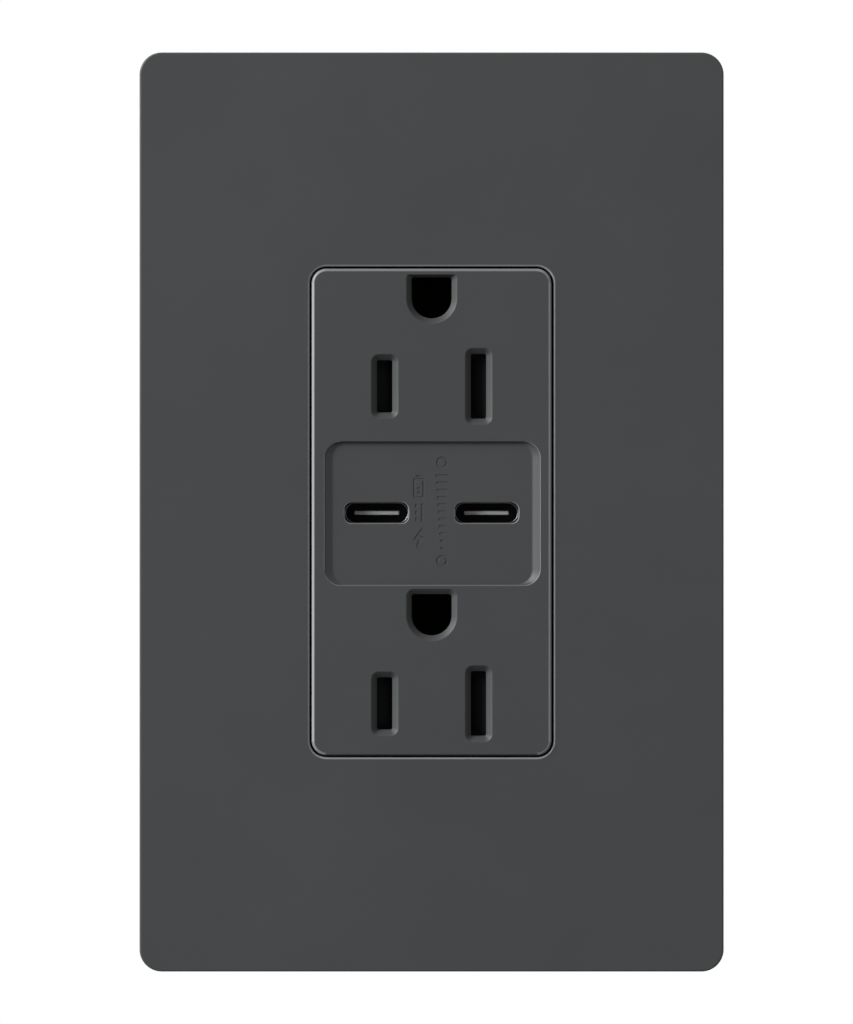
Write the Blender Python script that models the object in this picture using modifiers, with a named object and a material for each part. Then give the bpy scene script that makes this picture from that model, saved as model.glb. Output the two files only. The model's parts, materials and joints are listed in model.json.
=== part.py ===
"""Duplex wall outlet with two charging ports, its cover plate and its terminals.

X runs across, Z up and Y from the room into the wall, whose surface is the plane Y = 0.
The origin is the middle of the device on that surface.
"""

import math

import bmesh
import bpy
from mathutils import Matrix, Vector

mm = 0.001

# Clearances
GAP = 0.3 * mm  # between pieces that touch
FACE_GAP = 0.25 * mm  # between the face and the plate's opening
SLIDE_GAP = 0.4 * mm  # round what slips in or out
HOLE_GAP = 0.35 * mm  # between a shank and its hole, on the radius

# Cover plate and the panel that it snaps on to
PLATE_WIDTH = 79.0 * mm
PLATE_HEIGHT = 124.3 * mm
PLATE_DEPTH = 7.2 * mm
PLATE_WALL = 2.0 * mm
PLATE_CORNER = 3.0 * mm
PLATE_EDGE = 0.25 * mm
SUB_PLATE_THICK = 1.8 * mm
SUB_PLATE_CORNER = 2.5 * mm
SNAP_X, SNAP_Z = 26.0 * mm, 44.0 * mm
SNAP_WIDTH, SNAP_HEIGHT = 2.0 * mm, 7.0 * mm

# Face
FACE_WIDTH = 32.4 * mm
FACE_HEIGHT = 65.8 * mm
FACE_PROUD = 0.4 * mm
FACE_CORNER = 2.0 * mm
FACE_EDGE = 0.4 * mm
FACE_WALL = 2.2 * mm
SKIRT_WALL = 1.6 * mm
FLANGE_REACH = 4.3 * mm  # past the face at each side
FLANGE_RISE = 2.6 * mm  # past the face at each end
FLANGE_THICK = 1.6 * mm
FLANGE_CORNER = 3.0 * mm

# Plug openings
BLADE_PITCH = 12.7 * mm
UPPER_BLADE_DROP = 15.9 * mm  # top edge of the face to the upper blades
LOWER_BLADE_RISE = 7.0 * mm  # bottom edge of the face to the lower blades
GROUND_RISE = 11.9 * mm  # blades to the centre of the ground pin
HOT_SLOT = (2.05 * mm, 7.06 * mm)
NEUTRAL_SLOT = (2.05 * mm, 8.74 * mm)
GROUND_HOLE = (5.41 * mm, 5.59 * mm)
SLOT_CORNER = 0.25 * mm
LEAD_IN = 0.8 * mm
GROUND_LEAD_IN = 0.7 * mm

# Charging panel and ports
PANEL_MARGIN = 1.5 * mm  # edge of the face to the panel
PANEL_HEIGHT = 19.5 * mm
PANEL_DROP = 0.2 * mm
PANEL_DEPTH = 0.7 * mm
PANEL_CORNER = 2.2 * mm
PANEL_SLOPE = 0.9 * mm
PORT_X = 7.43 * mm
PORT_OPENING = (8.8 * mm, 3.0 * mm)
PORT_CORNER = 1.0 * mm
SHELL = (8.94 * mm, 3.16 * mm)
SHELL_WALL = 0.3 * mm
SHELL_DEPTH = 6.4 * mm
TONGUE = (6.1 * mm, 0.55 * mm)
TONGUE_SETBACK = 0.8 * mm

# Shutters
SHUTTER_WIDTH = 4.2 * mm
SHUTTER_HEIGHT = 9.4 * mm
SHUTTER_THICK = 1.8 * mm
RETAINER_WIDTH = 17.4 * mm
RETAINER_THICK = 1.5 * mm
RAIL_THICK = 1.0 * mm
SPRING_RADIUS = 0.9 * mm
SPRING_WIRE = 0.13 * mm
SPRING_TURNS = 6

# Strap
STRAP_THICK = 1.3 * mm
STRAP_SHOULDER = 7.6 * mm  # past the face at each end
STRAP_EAR_WIDTH = 38.0 * mm
STRAP_EAR_HEIGHT = 9.0 * mm
STRAP_NECK_WIDTH = 20.0 * mm
MOUNT_SCREW_RISE = 8.75 * mm  # past the face at each end: 83.3 mm between the box screws
PLATE_SCREW_RISE = 15.5 * mm  # past the face at each end: 96.8 mm between the plate screws
STRAP_RISE = 20.3 * mm  # past the face at each end
GROUND_TAB_X = -12.0 * mm
GROUND_TAB_WIDTH = 9.0 * mm
GROUND_TAB_DEPTH = 11.0 * mm
GROUND_TAB_DROP = 5.0 * mm  # past the housing's end
WASHER_SIDE, WASHER_THICK = 8.0 * mm, 0.8 * mm

# Contacts and terminals
SHEET = 0.8 * mm
BLADE_THICK = 1.5 * mm
BLADE_GRIP_GAP = 0.15 * mm
GROUND_PIN = 4.8 * mm
LEAF_FRONT = 1.5 * mm
CONTACT_BACK = 11.2 * mm
HOT_LEAF_HALF = 3.2 * mm
NEUTRAL_LEAF_HALF = 3.9 * mm
GROUND_LEAF_HALF = 2.0 * mm
TERMINAL_Z = 12.0 * mm
TERMINAL_Y = 7.5 * mm
TERMINAL_PLATE = 9.0 * mm
TERMINAL_INSET = 3.9 * mm  # side of the housing to the terminal plate
CLAMP = 7.8 * mm
CLAMP_THICK = 1.0 * mm
GROUND_STRIP = 5.0 * mm
FOOT_X = (4.6 * mm, 9.0 * mm, 17.0 * mm)
FOOT_HEIGHT = 3.4 * mm
FOOT_DROP = 0.5 * mm  # housing's end to the foot
RIVET_X = (11.2 * mm, 14.8 * mm)
RIVET_RADIUS, RIVET_HEAD, RIVET_RISE = 1.0 * mm, 1.6 * mm, 0.65 * mm
CARRIER_THICK = 1.5 * mm
CARRIER_RIB = 1.2 * mm

# Housing and what it holds
HOUSING_WALL = 1.8 * mm
HOUSING_STEP = 17.0 * mm
HOUSING_BACK = 31.3 * mm
HUMP_INSET = 5.0 * mm  # side of the housing to the side of its deep middle
HUMP_DROP = 9.5 * mm  # end of the housing to the end of its deep middle
HOUSING_CORNER = 1.6 * mm
BODY_SCREW_X = 11.5 * mm
BODY_SCREW_INSET = 3.3 * mm  # end of the face to the body screws
BOARD = 1.6 * mm
PORT_BOARD = (28.0 * mm, 16.0 * mm)
BARRIER_THICK = 0.5 * mm
HEADER_X = (10.5 * mm, 13.0 * mm)
HEADER_HALF = 5.0 * mm
LEAD_RADIUS = 0.6 * mm

# Screws: head radius, head height, shank radius, shank length, slot width
BOX_SCREW = (3.5 * mm, 2.2 * mm, 1.75 * mm, 25.0 * mm, 1.0 * mm)
PLATE_SCREW = (3.2 * mm, 1.2 * mm, 1.65 * mm, 8.5 * mm, 0.9 * mm)
TERMINAL_SCREW = (3.7 * mm, 2.2 * mm, 2.05 * mm, 6.6 * mm, 1.2 * mm)
GROUND_SCREW = (3.7 * mm, 2.2 * mm, 2.05 * mm, 5.5 * mm, 1.2 * mm)
BODY_SCREW = (2.6 * mm, 1.6 * mm, 1.3 * mm, 20.0 * mm, 0.8 * mm)

# Layers, from the room into the wall
PLATE_INNER = -PLATE_DEPTH + PLATE_WALL
FACE_FRONT = -PLATE_DEPTH - FACE_PROUD
FACE_BACK = FACE_FRONT + FACE_WALL
PANEL_FLOOR = FACE_FRONT + PANEL_DEPTH
SHUTTER_FRONT = FACE_BACK + GAP
SHUTTER_BACK = SHUTTER_FRONT + SHUTTER_THICK
RETAINER_FRONT = SHUTTER_BACK + GAP
STRAP_FRONT = -STRAP_THICK
SUB_PLATE_BACK = STRAP_FRONT - GAP
SUB_PLATE_FRONT = SUB_PLATE_BACK - SUB_PLATE_THICK
FLANGE_FRONT = GAP
FLANGE_BACK = FLANGE_FRONT + FLANGE_THICK
HOUSING_FRONT = FLANGE_BACK + GAP
SHELL_FRONT = FACE_BACK + GAP
PORT_BOARD_FRONT = SHELL_FRONT + SHELL_DEPTH + GAP
PORT_BOARD_BACK = PORT_BOARD_FRONT + 1.2 * mm
GROUND_WEB_FRONT = CONTACT_BACK + SHEET
GROUND_WEB_BACK = GROUND_WEB_FRONT + SHEET
CARRIER_FRONT = GROUND_WEB_BACK + GAP
CARRIER_BACK = CARRIER_FRONT + CARRIER_THICK
BARRIER_FRONT = CARRIER_BACK + 1.0 * mm
CHARGER_FRONT = HOUSING_STEP + HOUSING_WALL - 0.5 * mm
CHARGER_BACK = CHARGER_FRONT + BOARD
PART_FRONT = CHARGER_BACK + GAP  # where the charger's components stand

# Places across and up
FACE_TOP = FACE_HEIGHT / 2
OPENING_WIDTH = FACE_WIDTH + 2 * FACE_GAP
OPENING_HEIGHT = FACE_HEIGHT + 2 * FACE_GAP
WINDOW_WIDTH = FACE_WIDTH + 2 * SLIDE_GAP
WINDOW_HEIGHT = FACE_HEIGHT + 2 * SLIDE_GAP
HOUSING_WIDTH = FACE_WIDTH + 2 * FLANGE_REACH
HOUSING_HEIGHT = FACE_HEIGHT + 2 * FLANGE_RISE
INNER_WIDTH = HOUSING_WIDTH - 2 * HOUSING_WALL
INNER_HEIGHT = HOUSING_HEIGHT - 2 * HOUSING_WALL
HUMP_WIDTH = HOUSING_WIDTH - 2 * HUMP_INSET
HUMP_HEIGHT = HOUSING_HEIGHT - 2 * HUMP_DROP
BLADE_X = BLADE_PITCH / 2
BLADE_Z = {"upper": FACE_TOP - UPPER_BLADE_DROP, "lower": -FACE_TOP + LOWER_BLADE_RISE}
MOUNT_Z = FACE_TOP + MOUNT_SCREW_RISE
PLATE_SCREW_Z = FACE_TOP + PLATE_SCREW_RISE
STRAP_END = FACE_TOP + STRAP_RISE
SHOULDER_Z = FACE_TOP + STRAP_SHOULDER
BODY_SCREW_Z = FACE_TOP - BODY_SCREW_INSET
TERMINAL_FACE = HOUSING_WIDTH / 2 - TERMINAL_INSET
CLAMP_SEAT = TERMINAL_FACE + GAP
HEAD_SEAT = CLAMP_SEAT + CLAMP_THICK + GAP
LEAF_INNER = BLADE_THICK / 2 + BLADE_GRIP_GAP
SIDES = {"hot": -1, "neutral": 1}
ENDS = {"top": 1, "bottom": -1}


def clear_scene():
    for old in list(bpy.data.objects):
        bpy.data.objects.remove(old, do_unlink=True)


def new_collection(name):
    collection = bpy.data.collections.new(name)
    bpy.context.scene.collection.children.link(collection)
    return collection


clear_scene()
OUTLET = new_collection("duplex_wall_outlet")
CUTTERS = new_collection("cutters")


# Materials


def new_material(name, color, roughness, metallic=0.0):
    material = bpy.data.materials.new(name)
    material.use_nodes = True
    shader = material.node_tree.nodes["Principled BSDF"]
    shader.inputs["Base Color"].default_value = (*color, 1.0)
    shader.inputs["Roughness"].default_value = roughness
    shader.inputs["Metallic"].default_value = metallic
    material.diffuse_color = (*color, 1.0)
    return material


GRAPHITE = new_material("graphite_plastic", (0.062, 0.066, 0.068), 0.42)
BLACK = new_material("black_plastic", (0.02, 0.02, 0.022), 0.5)
IVORY = new_material("shutter_plastic", (0.09, 0.09, 0.095), 0.45)
STEEL = new_material("zinc_steel", (0.62, 0.63, 0.62), 0.34, 1.0)
BRASS = new_material("brass", (0.78, 0.58, 0.28), 0.3, 1.0)
NICKEL = new_material("nickel", (0.70, 0.69, 0.66), 0.28, 1.0)
GREEN = new_material("green_steel", (0.04, 0.30, 0.09), 0.4, 0.6)
SHELL_STEEL = new_material("port_steel", (0.55, 0.56, 0.57), 0.3, 1.0)
FIBRE = new_material("fibre", (0.42, 0.26, 0.13), 0.8)
CIRCUIT = new_material("circuit_board", (0.02, 0.13, 0.06), 0.45)
FERRITE = new_material("ferrite", (0.05, 0.05, 0.052), 0.6)
COPPER = new_material("winding_tape", (0.75, 0.55, 0.08), 0.45)
SLEEVE = new_material("capacitor_sleeve", (0.03, 0.05, 0.11), 0.35)
EPOXY = new_material("chip_epoxy", (0.025, 0.025, 0.027), 0.5)


# Shapes. Each function gives a mesh, and a piece is one of them with others added or cut.


def mesh_of(form):
    bmesh.ops.recalc_face_normals(form, faces=form.faces)
    mesh = bpy.data.meshes.new("shape")
    form.to_mesh(mesh)
    form.free()
    return mesh


def block(across, deep, up):
    """A box between two values on each axis."""
    form = bmesh.new()
    bmesh.ops.create_cube(form, size=1.0)
    ends = [sorted(pair) for pair in (across, deep, up)]
    size = [high - low for low, high in ends]
    middle = [(low + high) / 2 for low, high in ends]
    bmesh.ops.scale(form, vec=size, verts=form.verts)
    bmesh.ops.translate(form, vec=middle, verts=form.verts)
    return mesh_of(form)


def outline(width, height, radii, centre=(0.0, 0.0), steps=5):
    """A rectangle's outline with its own radius at each corner, from bottom left, anticlockwise."""
    if not isinstance(radii, tuple):
        radii = (radii,) * 4
    corners = ((-1, -1, 180), (1, -1, 270), (1, 1, 0), (-1, 1, 90))
    points = []
    for (right, top, start), radius in zip(corners, radii):
        x = centre[0] + right * (width / 2 - radius)
        z = centre[1] + top * (height / 2 - radius)
        for step in range(steps + 1):
            turn = math.radians(start + 90 * step / steps)
            points.append((x + radius * math.cos(turn), z + radius * math.sin(turn)))
    return points


def loft(*sections):
    """A solid through outlines that have the same number of points, each at its own depth."""
    form = bmesh.new()
    rings = [[form.verts.new((x, depth, z)) for x, z in points] for depth, points in sections]
    for ring, following in zip(rings, rings[1:]):
        for index, vert in enumerate(ring):
            after = (index + 1) % len(ring)
            form.faces.new((vert, ring[after], following[after], following[index]))
    form.faces.new(rings[0])
    form.faces.new(rings[-1])
    return mesh_of(form)


def prism(shape, front, back):
    return loft((front, shape), (back, shape))


def rounded_block(width, height, radius, front, back, edge, centre=(0.0, 0.0)):
    """A plate with rounded corners whose front edge is rounded too."""
    sections = []
    for step in range(4):
        turn = math.radians(30 * step)
        inset = edge * (1 - math.sin(turn))
        shape = outline(width - 2 * inset, height - 2 * inset, radius - inset, centre)
        sections.append((front + edge * (1 - math.cos(turn)), shape))
    return loft(*sections, (back, outline(width, height, radius, centre)))


def rod(radius, start, length, axis, sides=20):
    """A cylinder from a start point along one axis."""
    direction = Vector(axis).normalized()
    form = bmesh.new()
    bmesh.ops.create_cone(form, cap_ends=True, segments=sides, radius1=radius, radius2=radius,
                          depth=length)
    place = Vector(start) + direction * length / 2
    turn = Vector((0, 0, 1)).rotation_difference(direction).to_matrix().to_4x4()
    bmesh.ops.transform(form, matrix=Matrix.Translation(place) @ turn, verts=form.verts)
    return mesh_of(form)


def joined(meshes):
    form = bmesh.new()
    for mesh in meshes:
        form.from_mesh(mesh)
    whole = bpy.data.meshes.new("shapes")
    form.to_mesh(whole)
    form.free()
    return whole


# Pieces


def place_piece(name, mesh, material, at=(0, 0, 0), turn=(0, 0, 0), parent=None):
    piece = bpy.data.objects.new(name, mesh)
    piece.location = at
    piece.rotation_euler = turn
    piece.parent = parent
    if not mesh.materials:
        mesh.materials.append(material)
    OUTLET.objects.link(piece)
    return piece


def change(piece, operation, meshes):
    """Adds or cuts meshes, with a Boolean whose helper moves with the piece."""
    helper = bpy.data.objects.new(f"{piece.name}_{operation.lower()}", joined(meshes))
    helper.parent = piece
    helper.hide_render = True
    helper.display_type = "WIRE"
    CUTTERS.objects.link(helper)
    boolean = piece.modifiers.new(operation.lower(), "BOOLEAN")
    boolean.operation = operation
    boolean.object = helper
    boolean.use_self = len(meshes) > 1


def make(name, mesh, material, steps=(), **place):
    """A piece from a mesh and a list of steps, each "add" or "cut" and its meshes."""
    piece = place_piece(name, mesh, material, **place)
    for word, meshes in steps:
        change(piece, {"add": "UNION", "cut": "DIFFERENCE"}[word], meshes)
    return piece


def shade_round(mesh):
    mesh.shade_smooth()
    mesh.set_sharp_from_angle(angle=math.radians(35))


def turned(profile, sides):
    """A solid turned about Z from (radius, height) points, listed from its top down."""
    mesh = bpy.data.meshes.new("profile")
    edges = [(index, index + 1) for index in range(len(profile) - 1)]
    mesh.from_pydata([(radius, 0, height) for radius, height in profile], edges, [])
    blank = bpy.data.objects.new("profile", mesh)
    OUTLET.objects.link(blank)
    screw = blank.modifiers.new("turn", "SCREW")
    screw.steps = screw.render_steps = sides
    screw.use_merge_vertices = True
    screw.merge_threshold = 0.00001
    solid = evaluated_mesh(blank)
    bpy.data.objects.remove(blank)
    return solid


def evaluated_mesh(piece):
    bpy.context.view_layer.update()
    graph = bpy.context.evaluated_depsgraph_get()
    return bpy.data.meshes.new_from_object(piece.evaluated_get(graph))


def screw_mesh(sizes, point=True):
    """A slotted screw on Z: the head stands on Z = 0 and the shank goes down."""
    head, height, shank, length, slot = sizes
    chamfer = height / 4
    tip = shank / 2 if point else shank
    profile = [(0, height), (head - chamfer, height), (head, height - chamfer), (head, 0),
               (shank, 0), (shank, -length + shank / 2), (tip, -length), (0, -length)]
    blank = place_piece("screw_blank", turned(profile, 20), STEEL)
    groove = block((-head * 1.2, head * 1.2), (-slot / 2, slot / 2), (height / 2, height * 1.5))
    change(blank, "DIFFERENCE", [groove])
    mesh = evaluated_mesh(blank)
    helper = blank.modifiers[0].object
    bpy.data.objects.remove(blank)
    bpy.data.objects.remove(helper)
    mesh.materials.clear()
    shade_round(mesh)
    return mesh


# Turns that point a screw's head out along an axis
OUT_TO_ROOM = (math.pi / 2, 0, 0)
OUT_TO_BACK = (-math.pi / 2, 0, 0)
OUT_DOWN = (math.pi, 0, 0)


def out_sideways(side):
    return (0, side * math.pi / 2, 0)


def hole(radius, x, z, front, back, sides=20):
    return rod(radius + HOLE_GAP, (x, front - mm, z), back - front + 2 * mm, (0, 1, 0), sides)


def port_places():
    return {"left": -PORT_X, "right": PORT_X}


def make_plate():
    inner_width = PLATE_WIDTH - 2 * PLATE_WALL
    inner_height = PLATE_HEIGHT - 2 * PLATE_WALL
    inner_corner = PLATE_CORNER - PLATE_WALL
    shell = rounded_block(PLATE_WIDTH, PLATE_HEIGHT, PLATE_CORNER, -PLATE_DEPTH, 0, PLATE_EDGE)
    hollow = prism(outline(inner_width, inner_height, inner_corner), PLATE_INNER, mm)
    opening = outline(OPENING_WIDTH, OPENING_HEIGHT, FACE_CORNER + FACE_GAP)
    wide = outline(OPENING_WIDTH + 2 * PLATE_EDGE, OPENING_HEIGHT + 2 * PLATE_EDGE,
                   FACE_CORNER + FACE_GAP + PLATE_EDGE)
    mouth = loft((-PLATE_DEPTH - mm, wide), (-PLATE_DEPTH, wide),
                 (-PLATE_DEPTH + PLATE_EDGE, opening), (0, opening))
    posts = [
        block((x - SNAP_WIDTH / 2, x + SNAP_WIDTH / 2),
              (PLATE_INNER - mm / 2, SUB_PLATE_BACK - GAP),
              (z - SNAP_HEIGHT / 2, z + SNAP_HEIGHT / 2))
        for x in (-SNAP_X, SNAP_X) for z in (-SNAP_Z, SNAP_Z)
    ]
    make("wall_plate", shell, GRAPHITE,
         [("cut", [hollow]), ("cut", [mouth]), ("add", posts)])


def make_sub_plate():
    width = PLATE_WIDTH - 2 * PLATE_WALL - 2 * SLIDE_GAP
    height = PLATE_HEIGHT - 2 * PLATE_WALL - 2 * SLIDE_GAP
    panel = prism(outline(width, height, SUB_PLATE_CORNER), SUB_PLATE_FRONT, SUB_PLATE_BACK)
    window = outline(WINDOW_WIDTH, WINDOW_HEIGHT, FACE_CORNER + SLIDE_GAP)
    through = (SUB_PLATE_FRONT, SUB_PLATE_BACK)
    cuts = [prism(window, SUB_PLATE_FRONT - mm, SUB_PLATE_BACK + mm)]
    for end in ENDS.values():
        cuts.append(hole(BOX_SCREW[0] + mm / 2, 0, end * MOUNT_Z, *through))
        cuts.append(hole(PLATE_SCREW[2], 0, end * PLATE_SCREW_Z, *through))
    for x in (-SNAP_X, SNAP_X):
        for z in (-SNAP_Z, SNAP_Z):
            slot = outline(SNAP_WIDTH + 2 * SLIDE_GAP, SNAP_HEIGHT + 2 * SLIDE_GAP, mm / 2, (x, z))
            cuts.append(prism(slot, SUB_PLATE_FRONT - mm, SUB_PLATE_BACK + mm))
    room = 2 * (RIVET_HEAD + SLIDE_GAP)
    middle = ((RIVET_X[0] + RIVET_X[1]) / 2, rivet_height())
    rivets = outline(RIVET_X[1] - RIVET_X[0] + room, room, RIVET_HEAD, middle)
    cuts.append(prism(rivets, SUB_PLATE_FRONT - mm, SUB_PLATE_BACK + mm))
    make("sub_plate", panel, BLACK, [("cut", cuts)])
    mesh = screw_mesh(PLATE_SCREW)
    for end, sign in ENDS.items():
        at = (0, SUB_PLATE_FRONT - GAP, sign * PLATE_SCREW_Z)
        place_piece(f"plate_screw_{end}", mesh, STEEL, at, OUT_TO_ROOM)


def rivet_height():
    return -(HOUSING_HEIGHT / 2 + FOOT_DROP + FOOT_HEIGHT / 2)


def make_strap():
    front, back = STRAP_FRONT, 0
    frame = prism(outline(HOUSING_WIDTH, 2 * SHOULDER_Z, mm), front, back)
    adds = []
    cuts = [prism(outline(WINDOW_WIDTH, WINDOW_HEIGHT, mm), front - mm, back + mm)]
    for end in ENDS.values():
        neck_height = STRAP_END - SHOULDER_Z + 2 * mm
        neck_middle = end * (STRAP_END - neck_height / 2)
        neck = outline(STRAP_NECK_WIDTH, neck_height, 3 * mm, (0, neck_middle))
        ears = outline(STRAP_EAR_WIDTH, STRAP_EAR_HEIGHT, 4 * mm,
                       (0, end * (STRAP_END - STRAP_EAR_HEIGHT / 2)))
        adds += [prism(neck, front, back), prism(ears, front, back)]
        slot = 2 * (BOX_SCREW[2] + HOLE_GAP)
        oval = outline(slot + 3 * mm, slot, slot / 2 - 0.01 * mm, (0, end * MOUNT_Z))
        cuts.append(prism(oval, front - mm, back + mm))
        cuts.append(hole(PLATE_SCREW[2], 0, end * PLATE_SCREW_Z, front, back))
    cuts += [hole(RIVET_RADIUS, x, rivet_height(), front, back, 12) for x in RIVET_X]
    tab_low = -(HOUSING_HEIGHT / 2 + GROUND_TAB_DROP)
    half = GROUND_TAB_WIDTH / 2
    tab = block((GROUND_TAB_X - half, GROUND_TAB_X + half), (front, GROUND_TAB_DEPTH),
                (tab_low, tab_low + STRAP_THICK))
    tab_hole = rod(GROUND_SCREW[2] + HOLE_GAP, (GROUND_TAB_X, tab_screw_depth(), tab_low - mm),
                   STRAP_THICK + 2 * mm, (0, 0, 1))
    make("mounting_strap", frame, STEEL, [("add", adds), ("add", [tab]), ("cut", cuts),
                                          ("cut", [tab_hole])])
    mesh = screw_mesh(BOX_SCREW)
    washer = prism(outline(WASHER_SIDE, WASHER_SIDE, mm, steps=2), GAP, GAP + WASHER_THICK)
    for end, sign in ENDS.items():
        at = (0, STRAP_FRONT - GAP, sign * MOUNT_Z)
        place_piece(f"mounting_screw_{end}", mesh, STEEL, at, OUT_TO_ROOM)
        make(f"screw_retainer_{end}", washer.copy(), FIBRE,
             [("cut", [hole(BOX_SCREW[2], 0, 0, 0, GAP + WASHER_THICK)])], at=(0, 0, sign * MOUNT_Z))
    clamp = block((-CLAMP / 2, CLAMP / 2), (-CLAMP / 2, CLAMP / 2), (0, CLAMP_THICK))
    clamp_hole = rod(GROUND_SCREW[2] + HOLE_GAP, (0, 0, -mm), CLAMP_THICK + 2 * mm, (0, 0, 1))
    seat = tab_low - GAP
    make("ground_clamp_plate", clamp, NICKEL, [("cut", [clamp_hole])],
         at=(GROUND_TAB_X, tab_screw_depth(), seat), turn=OUT_DOWN)
    place_piece("ground_terminal_screw", screw_mesh(GROUND_SCREW), GREEN,
                (GROUND_TAB_X, tab_screw_depth(), seat - CLAMP_THICK - GAP), OUT_DOWN)


def tab_screw_depth():
    return GROUND_TAB_DEPTH - CLAMP / 2 - 0.6 * mm


def plug_cutters(kind, x, z):
    """The cutter of one plug opening and its lead-in, with its centre line at x, z."""
    if kind == "ground":
        width, height = GROUND_HOLE
        radius = width / 2 - 0.01 * mm
        radii = (radius, radius, 0.3 * mm, 0.3 * mm)
        lead = GROUND_LEAD_IN
        z += height / 2 - width / 2
    else:
        width, height = HOT_SLOT if kind == "hot" else NEUTRAL_SLOT
        radii = (SLOT_CORNER,) * 4
        lead = LEAD_IN
    wide_radii = tuple(radius + min(lead, 0.45 * mm) for radius in radii)
    if kind == "ground":
        wide_radii = (radii[0] + lead, radii[1] + lead, 0.8 * mm, 0.8 * mm)
    inner = outline(width, height, radii, (x, z), 6)
    outer = outline(width + 2 * lead, height + 2 * lead, wide_radii, (x, z), 6)
    return loft((FACE_FRONT - mm, outer), (FACE_FRONT, outer), (FACE_FRONT + lead, inner),
                (FACE_BACK + mm, inner))


def make_face():
    body = rounded_block(FACE_WIDTH, FACE_HEIGHT, FACE_CORNER, FACE_FRONT, FLANGE_FRONT + mm / 2,
                         FACE_EDGE)
    flange = prism(outline(HOUSING_WIDTH, HOUSING_HEIGHT, FLANGE_CORNER), FLANGE_FRONT, FLANGE_BACK)
    hollow = prism(outline(FACE_WIDTH - 2 * SKIRT_WALL, FACE_HEIGHT - 2 * SKIRT_WALL,
                           FACE_CORNER / 2), FACE_BACK, FLANGE_BACK + mm)
    bosses = [
        rod(BODY_SCREW[2] + 1.1 * mm, (x, FACE_BACK - mm / 2, z), FLANGE_BACK - FACE_BACK + mm / 2,
            (0, 1, 0), 16)
        for x in (-BODY_SCREW_X, BODY_SCREW_X) for z in (-BODY_SCREW_Z, BODY_SCREW_Z)
    ]
    pilots = [
        rod(BODY_SCREW[2] + HOLE_GAP, (x, FACE_BACK + mm, z), FLANGE_BACK - FACE_BACK,
            (0, 1, 0), 12)
        for x in (-BODY_SCREW_X, BODY_SCREW_X) for z in (-BODY_SCREW_Z, BODY_SCREW_Z)
    ]
    cuts = []
    for z in BLADE_Z.values():
        cuts.append(plug_cutters("hot", -BLADE_X, z))
        cuts.append(plug_cutters("neutral", BLADE_X, z))
        cuts.append(plug_cutters("ground", 0, z + GROUND_RISE))
    panel_width = FACE_WIDTH - 2 * PANEL_MARGIN
    centre = (0, -PANEL_DROP)
    wide = outline(panel_width, PANEL_HEIGHT, PANEL_CORNER, centre)
    narrow = outline(panel_width - 2 * PANEL_SLOPE, PANEL_HEIGHT, PANEL_CORNER, centre)
    recess = loft((FACE_FRONT - mm, wide), (FACE_FRONT, wide), (PANEL_FLOOR, narrow))
    ports = [
        prism(outline(*PORT_OPENING, PORT_CORNER, (x, 0)), FACE_FRONT, FACE_BACK + mm)
        for x in port_places().values()
    ]
    make("face_cover", body, GRAPHITE,
         [("add", [flange]), ("cut", [hollow]), ("add", bosses), ("cut", pilots),
          ("cut", cuts + [recess]), ("cut", ports)])


def make_ports():
    tube = outline(*SHELL, SHELL[1] / 2 - 0.01 * mm, steps=6)
    bore_height = SHELL[1] - 2 * SHELL_WALL
    bore = outline(SHELL[0] - 2 * SHELL_WALL, bore_height, bore_height / 2 - 0.01 * mm, steps=6)
    back = SHELL_FRONT + SHELL_DEPTH
    for side, x in port_places().items():
        make(f"port_shell_{side}", prism(tube, SHELL_FRONT, back), SHELL_STEEL,
             [("cut", [prism(bore, SHELL_FRONT - mm, back - 2 * SHELL_WALL)])], at=(x, 0, 0))
        tongue = block((-TONGUE[0] / 2, TONGUE[0] / 2),
                       (SHELL_FRONT + TONGUE_SETBACK, back - 2 * SHELL_WALL - GAP),
                       (-TONGUE[1] / 2, TONGUE[1] / 2))
        place_piece(f"port_tongue_{side}", tongue, BLACK, at=(x, 0, 0))
    board = block((-PORT_BOARD[0] / 2, PORT_BOARD[0] / 2), (PORT_BOARD_FRONT, PORT_BOARD_BACK),
                  (-PORT_BOARD[1] / 2, PORT_BOARD[1] / 2))
    place_piece("port_board", board, CIRCUIT)
    header = block(HEADER_X, (PORT_BOARD_BACK + GAP, CHARGER_FRONT - GAP),
                   (-HEADER_HALF, HEADER_HALF))
    place_piece("board_link_header", header, BLACK)


def make_shutters():
    """The pair of shutters of each outlet, the spring between them and their retainer."""
    inner = BLADE_X - SHUTTER_WIDTH / 2
    for outlet, z in BLADE_Z.items():
        leaf = block((-SHUTTER_WIDTH / 2, SHUTTER_WIDTH / 2), (SHUTTER_FRONT, SHUTTER_BACK),
                     (-SHUTTER_HEIGHT / 2, SHUTTER_HEIGHT / 2))
        ramp_depth = SHUTTER_THICK * 0.6
        for name, side in SIDES.items():
            ramp = bmesh.new()
            bmesh.ops.create_cube(ramp, size=1.0)
            size = (SHUTTER_WIDTH, ramp_depth, SHUTTER_HEIGHT - 2 * mm)
            tilt = Matrix.Rotation(-side * math.radians(32), 4, "Z")
            place = Matrix.Translation((-side * 0.1 * mm, SHUTTER_FRONT - ramp_depth * 0.62, 0))
            bmesh.ops.scale(ramp, vec=size, verts=ramp.verts)
            bmesh.ops.transform(ramp, matrix=place @ tilt, verts=ramp.verts)
            make(f"{outlet}_{name}_shutter", leaf.copy(), IVORY, [("cut", [mesh_of(ramp)])],
                 at=(side * BLADE_X, 0, z))
        make_spring(f"{outlet}_shutter_spring", inner - GAP, z)
        make_retainer(f"{outlet}_shutter_retainer", z)


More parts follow.
